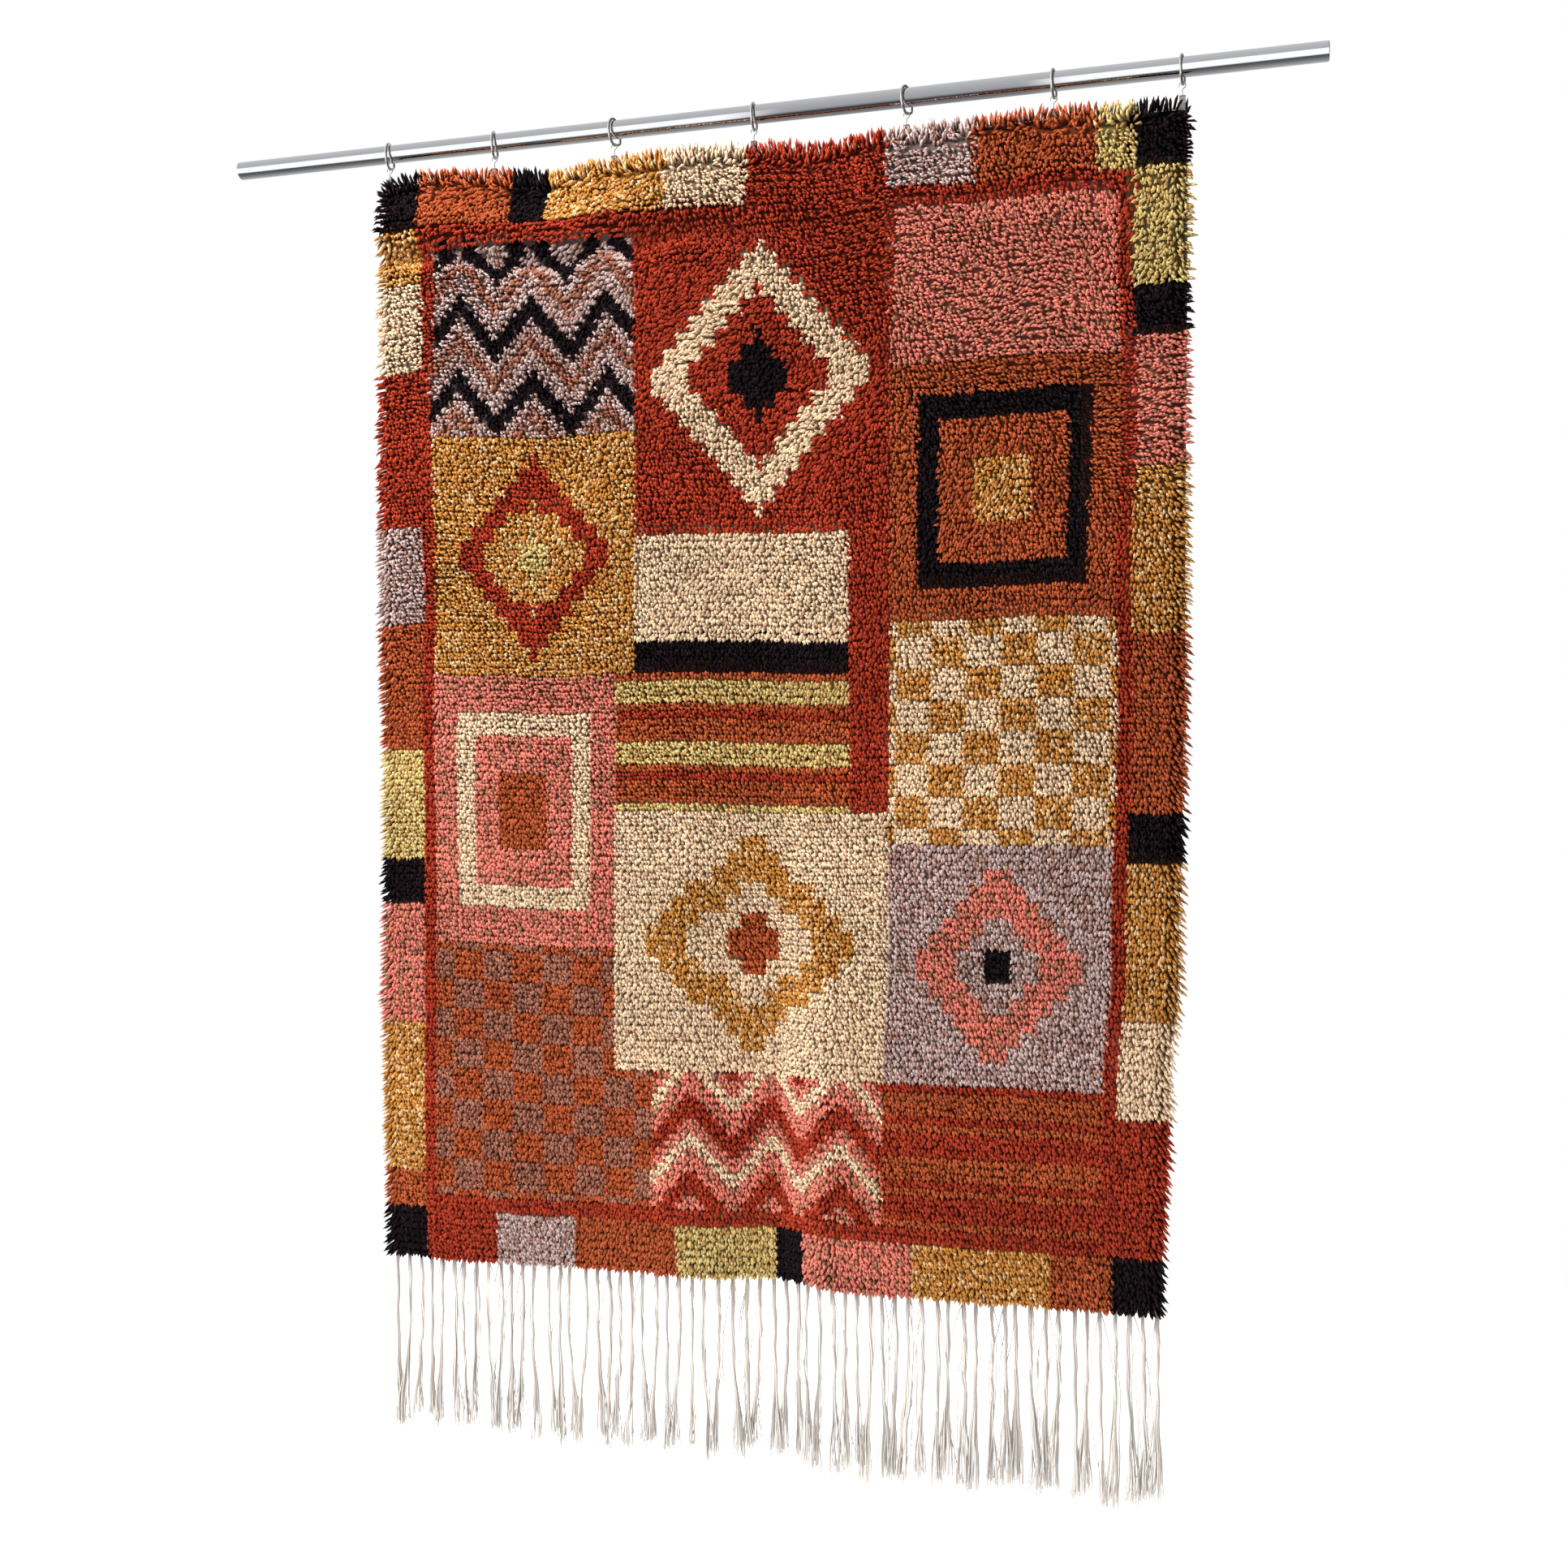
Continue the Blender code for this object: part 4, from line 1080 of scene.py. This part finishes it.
class RYA_OT_pile(bpy.types.Operator):
    """Ties the pile: cut yarn ends in rows of knots, in four bands from the top down"""

    bl_idname = "rya.pile"
    bl_label = "Pile"
    bands = 4
    seed = 5

    def execute(self, context):
        rug = context.scene.rya_rug
        draw = np.random.default_rng(self.seed)
        design = knotted_design(rug.knots_across, rug.knots_down)
        cuts = np.linspace(0, rug.knots_down, self.bands + 1).astype(int)
        for number, (first, last) in enumerate(zip(cuts[:-1], cuts[1:]), 1):
            self.tie_band(f"pile_{number}", rug, design, first, last, draw)
        return {"FINISHED"}

    def tie_band(self, name, rug, design, first, last, draw):
        """Each knot gives a tuft of yarn ends. A place on the cloth, the bed's height there and
        the lean give the root, the shoulder and the cut tip of each."""
        row, column, end = np.meshgrid(
            np.arange(first, last), np.arange(rug.knots_across), np.arange(rug.locks), indexing="ij",
        )
        row, column, end = row.ravel(), column.ravel(), end.ravel()
        shift = TUFT_WIDTH * ((end + 0.5) / rug.locks - 0.5)
        stagger = TUFT_STAGGER * (end % 2 - 0.5)
        jitter = draw.uniform(-TUFT_JITTER, TUFT_JITTER, (2, len(row)))
        across = (column + 0.5 + shift + jitter[0]) / rug.knots_across
        down = (row + 0.5 + stagger + jitter[1]) / rug.knots_down
        base = cloth(across, down)
        keep = clip_room(base) < CLIP_CLEAR
        row, column, end, shift = row[keep], column[keep], end[keep], shift[keep]
        across, down, base = across[keep], down[keep], base[keep]
        count = len(row)
        right, lower, out = cloth_ways(across, down)
        aside, under, lively, rim = lean(base)
        tuft = draw.normal(0.0, 1.0, (2, last - first, rug.knots_across))[:, row - first, column]
        scatter = rug.spread * lively * (0.75 * tuft + 0.65 * draw.normal(0.0, 1.0, (2, count)))
        aside = aside + scatter[0] + TUFT_SPLAY * shift
        way = unit(aside[:, None] * right + (under + scatter[1])[:, None] * lower)
        reach = rug.lock_lean * draw.uniform(0.78, 1.22, count) * (1.0 + RIM_REACH * rim)
        depth = top_edge(base[:, 0]) - base[:, 2]
        bed = bed_height(rug, across, down, base)
        full = PILE_THICKNESS - WEB - rug.bed + LUMP * lump(base[:, 0], depth)
        rise = full * draw.uniform(0.80, 1.08, count)
        middle = WEB / 2 + 0.5 * (bed + rug.bed)
        root = base + out * (WEB / 2 + LOCK_ROOT * bed)[:, None]
        shoulder = base + out * (middle + LOCK_SHOULDER * rise)[:, None]
        shoulder = shoulder + way * (LOCK_BEND * reach)[:, None]
        tip = base + out * (middle + rise)[:, None] + way * reach[:, None]
        half = rug.lock_width / math.sqrt(3) * draw.uniform(0.85, 1.15, count) * (1 - RIM_THIN * rim)
        paths = np.stack([root, shoulder, tip], axis=1)
        made = yarn_ends(paths, half[:, None] * np.array(LOCK_SWELL), np.cross(out, way))
        wool = bpy.data.materials["hand_spun_rya_wool"]
        piece = add_piece(name, made.places, made.faces, wool)
        self.dye(piece, made, design[row, column], across, down, draw)
        cells = np.stack([column, (row - first) * rug.locks + end], axis=1)
        add_yarn_maps(piece, made, cells, rug.knots_across, (last - first) * rug.locks, 2.5)
        dress(piece, "wool", "rug")

    def dye(self, piece, made, yarns, across, down, draw):
        """Each yarn end takes its knot's colour or its fleck, with its own random tone and painted shade:
        darker where it comes out of the bed and a little lighter at its cut tip."""
        share = np.array([yarn.share for yarn in YARNS.values()])[yarns]
        flecked = draw.uniform(0.0, 1.0, len(yarns)) < share
        colour = np.where(
            flecked[:, None], yarn_colours("fleck")[yarns], yarn_colours("colour")[yarns],
        )
        shade = np.clip(draw.normal(1.0, LOCK_SHADE, len(yarns)), 0.7, 1.35) * abrash(across, down)
        # Painted shade along the yarn end, darkest at its root, times its own random tone
        fade = np.array(LOCK_PAINTED_SHADE)[made.ring] * shade[made.path]
        add_colours(piece, colour[made.path] * fade[:, None], "POINT")


class RYA_OT_fringe(bpy.types.Operator):
    """Lets down the warp fringe: bundles of threads that meet in twos and threes and fray"""

    bl_idname = "rya.fringe"
    bl_label = "Fringe"
    steps = 13
    wide = 122

    def execute(self, context):
        settings = context.scene.rya_fringe
        cotton = cotton_warp()
        draw = np.random.default_rng(BUNDLE_SEED)
        paths, bundle = self.threads(settings, draw)
        count = len(bundle)
        taper = 1.0 - 0.20 * smooth(0.9, 1.0, np.linspace(0.0, 1.0, self.steps))[None, :]
        made = sweep(paths, settings.thread / 2 * taper, 3, BACK)
        piece = add_piece("fringe_threads", made.places, made.faces, cotton)
        shade = np.clip(draw.normal(1.0, THREAD_SHADE, count), 0.6, 1.3)
        shade = shade * draw.normal(1.0, 0.05, BUNDLES)[bundle]
        warm = draw.normal(0.0, 0.03, count)
        tint = np.stack([1 + warm, np.ones(count), 1 - 1.6 * warm], axis=1) * shade[:, None]
        add_colours(piece, (np.array(settings.colour[:3]) * tint)[made.path], "POINT")
        thread = np.arange(count)
        cells = np.stack([thread % self.wide, thread // self.wide], axis=1)
        add_yarn_maps(piece, made, cells, self.wide, math.ceil(count / self.wide), 60.0)
        dress(piece, "cotton", "fringe")
        self.heading(settings, cotton)
        return {"FINISHED"}

    def threads(self, settings, draw):
        """Paths of all threads: each winds round its bundle's line, which hangs straight and then
        swings to its neighbours, and runs apart from it where the bundle comes loose."""
        root, swing, length = self.plan()
        bundle = np.repeat(np.arange(BUNDLES), settings.threads)
        count = len(bundle)
        part = np.linspace(0.0, 1.0, self.steps)[None, :]
        own_length = (length[bundle] * draw.uniform(*THREAD_LENGTH, count))[:, None]
        angle = draw.uniform(0.0, 2 * np.pi, count)[:, None]
        turns = draw.normal(*THREAD_TURNS, BUNDLES)[bundle][:, None]
        radius = np.sqrt(draw.uniform(0.02, 1.0, count))[:, None]
        loosen = draw.uniform(*THREAD_LOOSE, BUNDLES)[bundle][:, None]
        open_end = smooth(0.0, 1.0, (part - loosen) / (1.0 - loosen))
        fray = settings.fray * draw.uniform(*THREAD_FRAY, BUNDLES)[bundle][:, None]
        spread = settings.bundle * (1.0 + 0.2 * np.sin(9.0 * part + angle))
        spread = spread + (fray - settings.bundle) * open_end
        turned = angle + turns * 2 * np.pi * np.minimum(part, loosen)
        curl = draw.normal(0.0, THREAD_CURL, count)[:, None] * open_end * np.sin(7.0 * part + 3.0 * angle)
        stray = draw.uniform(0.0, 1.0, count) < STRAY_SHARE
        stray = np.where(stray, draw.normal(0.0, STRAY_SWING, count), 0.0)
        sway = draw.normal(0.0, BUNDLE_BOW, BUNDLES)[bundle][:, None] * np.sin(1.6 * np.pi * part)
        crimp = draw.uniform(0.0, 2 * np.pi, BUNDLES)[bundle][:, None] + CRIMP_PACE * part
        x = root[bundle][:, None] + swing[bundle][:, None] * smooth(BUNDLE_STRAIGHT, 0.95, part)
        x = x + radius * spread * np.cos(turned) + curl + sway
        x = x + CRIMP * np.sin(crimp) * smooth(0.0, 0.1, part)
        x = x + stray[:, None] * np.sin(np.pi * part)
        y = self.edge_fold(root)[bundle][:, None] + 0.75 * radius * spread * np.sin(turned)
        z = BOTTOM_EDGE - GAP - own_length * part
        return np.stack([x, y, z], axis=-1), bundle

    def plan(self):
        """Root, sideways swing and length of each bundle, drawn as for the solids."""
        draw = random.Random(BUNDLE_SEED)
        ends = cloth(np.array([0.0, 1.0]), np.array([1.0, 1.0]))[:, 0]
        left = ends[0] + BUNDLE_WIDTH
        pitch = (ends[1] - BUNDLE_WIDTH - left) / (BUNDLES - 1)
        roots = []
        for number in range(BUNDLES):
            inner = 0 < number < BUNDLES - 1
            roots.append(left + pitch * number + inner * draw.uniform(-1, 1) * BUNDLE_JITTER)
        swings, lengths = [], []
        turn = 0
        while len(swings) < BUNDLES:
            first = len(swings)
            count = min(BUNCHES[turn % len(BUNCHES)], BUNDLES - first)
            members = roots[first:first + count]
            middle = sum(members) / count + draw.uniform(-1, 1) * BUNDLE_SWAY
            for place, root in enumerate(members):
                swings.append(middle + (place - (count - 1) / 2) * (BUNDLE_END + BUNDLE_APART) - root)
                lengths.append(draw.uniform(*BUNDLE_LENGTH))
            turn += 1
        return np.array(roots), np.array(swings), np.array(lengths)

    def edge_fold(self, x):
        """How far back the bottom edge hangs at x."""
        return fold(x, top_edge(x) - BOTTOM_EDGE)

    def heading(self, settings, cotton):
        """The twined edge that holds the warp: a narrow rounded strip under the ground weave."""
        ends = cloth(np.array([0.0, 1.0]), np.array([1.0, 1.0]))[:, 0]
        x = np.linspace(ends[0], ends[1], HEADING_POINTS)
        z = BOTTOM_EDGE - GAP - HEADING_HEIGHT / 2 + 0.0003 * np.sin(2.1 * np.arange(HEADING_POINTS))
        path = np.stack([x, self.edge_fold(x), z], axis=-1)[None]
        made = sweep(path, HEADING_THICKNESS / 2, HEADING_SIDES, BACK)
        above = made.places[:, 2] - z[made.ring]
        made.places[:, 2] = z[made.ring] + above * HEADING_HEIGHT / HEADING_THICKNESS
        piece = add_piece("fringe_heading", made.places, made.faces, cotton)
        colour = 0.85 * np.array(settings.colour[:3])
        add_colours(piece, np.tile(colour, (len(made.places), 1)), "POINT")
        add_yarn_maps(piece, made, np.zeros((1, 2)), 1, 1, 240.0)
        dress(piece, "cotton", "fringe")


class RYA_OT_stage(bpy.types.Operator):
    """Sets the pale floor, the soft studio light and the camera"""

    bl_idname = "rya.stage"
    bl_label = "Stage"

    def execute(self, context):
        settings = context.scene.rya_stage
        self.floor(settings)
        self.light(context.scene, settings)
        self.sky(context.scene, settings)
        self.camera(context.scene)
        context.scene.view_settings.view_transform = "Standard"
        context.scene.view_settings.look = "None"
        return {"FINISHED"}

    def floor(self, settings):
        """A flat disc below the fringe that fades away towards its rim."""
        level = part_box("fringe")[0].z - settings.floor_drop
        radius = np.linspace(0.0, settings.floor_size, FLOOR_RINGS)[1:]
        this = np.arange(FLOOR_SIDES)
        turn = 2 * np.pi * this / FLOOR_SIDES
        rings = radius[:, None, None] * np.stack([np.cos(turn), np.sin(turn)], axis=-1)[None]
        flat = np.concatenate([np.zeros((1, 2)), rings.reshape(-1, 2)])
        places = np.column_stack([flat, np.full(len(flat), level)])
        after = (this + 1) % FLOOR_SIDES
        middle = np.stack([0 * this, this + 1, after + 1], axis=-1)
        row = 1 + FLOOR_SIDES * np.arange(len(radius) - 1)[:, None]
        outer = row + FLOOR_SIDES
        quads = np.stack([row + this, outer + this, outer + after, row + after], axis=-1)
        made, tree = new_material("matt_white_floor_paint")
        place = add(tree, "TexCoord")
        flat_place = {0: place.outputs["Object"], 1: (1.0, 1.0, 0.0)}
        apart = add(tree, "VectorMath", flat_place, operation="MULTIPLY")
        far = add(tree, "VectorMath", {0: apart}, operation="LENGTH")
        fade = add(tree, "MapRange", {
            "Value": far,
            "From Min": settings.floor_size * 0.35,
            "From Max": settings.floor_size * 0.95,
        }, interpolation_type="SMOOTHSTEP")
        paint = add(tree, "BsdfPrincipled", {
            "Base Color": linear("#fbfbfa"),
            "Roughness": 0.8,
            "Emission Color": linear("#ffffff"),
            "Emission Strength": settings.floor_glow,
        })
        clear = add(tree, "BsdfTransparent")
        mixed = add(tree, "MixShader", {0: fade, 1: paint, 2: clear})
        add(tree, "OutputMaterial", {"Surface": mixed})
        piece = add_piece("floor", places, [middle, quads.reshape(-1, 4)], made)
        piece.visible_glossy = False

    def light(self, scene, settings):
        """A large soft light at the upper left in front of the rug."""
        key = bpy.data.lights.new("large_soft_light", "AREA")
        key.shape = "RECTANGLE"
        key.size = LAMP_SIZE
        key.size_y = LAMP_SIZE
        key.energy = settings.key
        lamp = bpy.data.objects.new("large_soft_light", key)
        scene.collection.objects.link(lamp)
        lamp.location = LAMP_PLACE
        lamp.rotation_euler = np.radians(LAMP_TURN)
        lamp.visible_glossy = False

    def sky(self, scene, settings):
        """Even light from all round, plain white where the camera looks past the rug, and for the
        metal a studio of soft bands by the angle round the rod."""
        world = bpy.data.worlds.new("soft_studio")
        scene.world = world
        world.use_nodes = True
        tree = world.node_tree
        tree.nodes.clear()
        place = add(tree, "TexCoord")
        way = add(tree, "SeparateXYZ", {0: place.outputs["Generated"]})
        front = add(tree, "Math", {0: way.outputs["Y"], 1: -1.0}, operation="MULTIPLY")
        angle = add(tree, "Math", {0: way.outputs["Z"], 1: front}, operation="ARCTAN2")
        limits = {"Value": angle, "From Min": -math.pi, "From Max": math.pi}
        turn = add(tree, "MapRange", limits)
        ramps = []
        for bands in (STUDIO_ENDS, STUDIO_MIDDLE):
            ramp = add(tree, "ValToRGB", {"Fac": turn})
            elements = ramp.color_ramp.elements
            while len(elements) < len(bands):
                elements.new(1.0)
            for element, (degrees, code) in zip(elements, bands):
                element.position = degrees / 360 + 0.5
                element.color = linear(code)
            ramps.append(ramp)
        parts = []
        first, second, third, fourth = STUDIO_INSIDE
        for low, high in ((first, second), (fourth, third), STUDIO_RIGHT, STUDIO_LEFT):
            limits = {"Value": way.outputs["X"], "From Min": low, "From Max": high}
            parts.append(add(tree, "MapRange", limits, interpolation_type="SMOOTHSTEP"))
        inside = add(tree, "Math", {0: parts[0], 1: parts[1]}, operation="MULTIPLY")
        shown = add(tree, "Mix", {"Factor": inside, "A": ramps[0], "B": ramps[1]}, data_type="RGBA")
        for part, code in ((parts[2], "#4a4744"), (parts[3], "#ffffff")):
            shown = add(tree, "Mix", {"Factor": part, "A": shown, "B": linear(code)}, data_type="RGBA")
        studio = add(tree, "Background", {"Color": shown, "Strength": settings.shine})
        room = add(tree, "Background", {"Color": linear("#ffffff"), "Strength": settings.sky})
        white = add(tree, "Background", {"Color": linear("#ffffff"), "Strength": 1.0})
        ray = add(tree, "LightPath")
        lit = add(tree, "MixShader", {0: ray.outputs["Is Glossy Ray"], 1: room, 2: studio})
        seen = add(tree, "MixShader", {0: ray.outputs["Is Camera Ray"], 1: lit, 2: white})
        add(tree, "OutputWorld", {"Surface": seen})

    def camera(self, scene):
        """The photograph's view: level, turned a little to the left, from the right of the middle."""
        lens = bpy.data.cameras.new("camera")
        lens.lens = CAMERA_LENS
        lens.sensor_width = 36.0
        lens.shift_y = CAMERA_SHIFT
        eye = bpy.data.objects.new("camera", lens)
        scene.collection.objects.link(eye)
        eye.location = CAMERA_PLACE
        eye.rotation_euler = np.radians(CAMERA_TURN)
        scene.camera = eye


class RYA_PT_panel(bpy.types.Panel):
    """Lists the steps and settings of the rug in the 3D view's sidebar"""

    bl_idname = "RYA_PT_panel"
    bl_label = "Rya Rug"
    bl_space_type = "VIEW_3D"
    bl_region_type = "UI"
    bl_category = "Rya Rug"

    def draw(self, context):
        for group in (context.scene.rya_rug, context.scene.rya_fringe, context.scene.rya_stage):
            box = self.layout.box()
            for name in group.__annotations__:
                box.prop(group, name)
        for step in STEPS:
            self.layout.operator(step.bl_idname)


SETTINGS = {"rya_rug": RugSettings, "rya_fringe": FringeSettings, "rya_stage": StageSettings}
STEPS = (
    RYA_OT_rod, RYA_OT_rings, RYA_OT_hooks, RYA_OT_clips,
    RYA_OT_ground_weave, RYA_OT_knot_bed, RYA_OT_pile, RYA_OT_fringe, RYA_OT_stage,
)


def register():
    for kind in (*SETTINGS.values(), *STEPS, RYA_PT_panel):
        bpy.utils.register_class(kind)
    for name, kind in SETTINGS.items():
        setattr(bpy.types.Scene, name, PointerProperty(type=kind))


def unregister():
    for name in SETTINGS:
        delattr(bpy.types.Scene, name)
    for kind in (RYA_PT_panel, *reversed(STEPS), *reversed(list(SETTINGS.values()))):
        bpy.utils.unregister_class(kind)


def main():
    register()
    for step in STEPS:
        group, name = step.bl_idname.split(".")
        getattr(getattr(bpy.ops, group), name)()


if __name__ == "__main__":
    main()
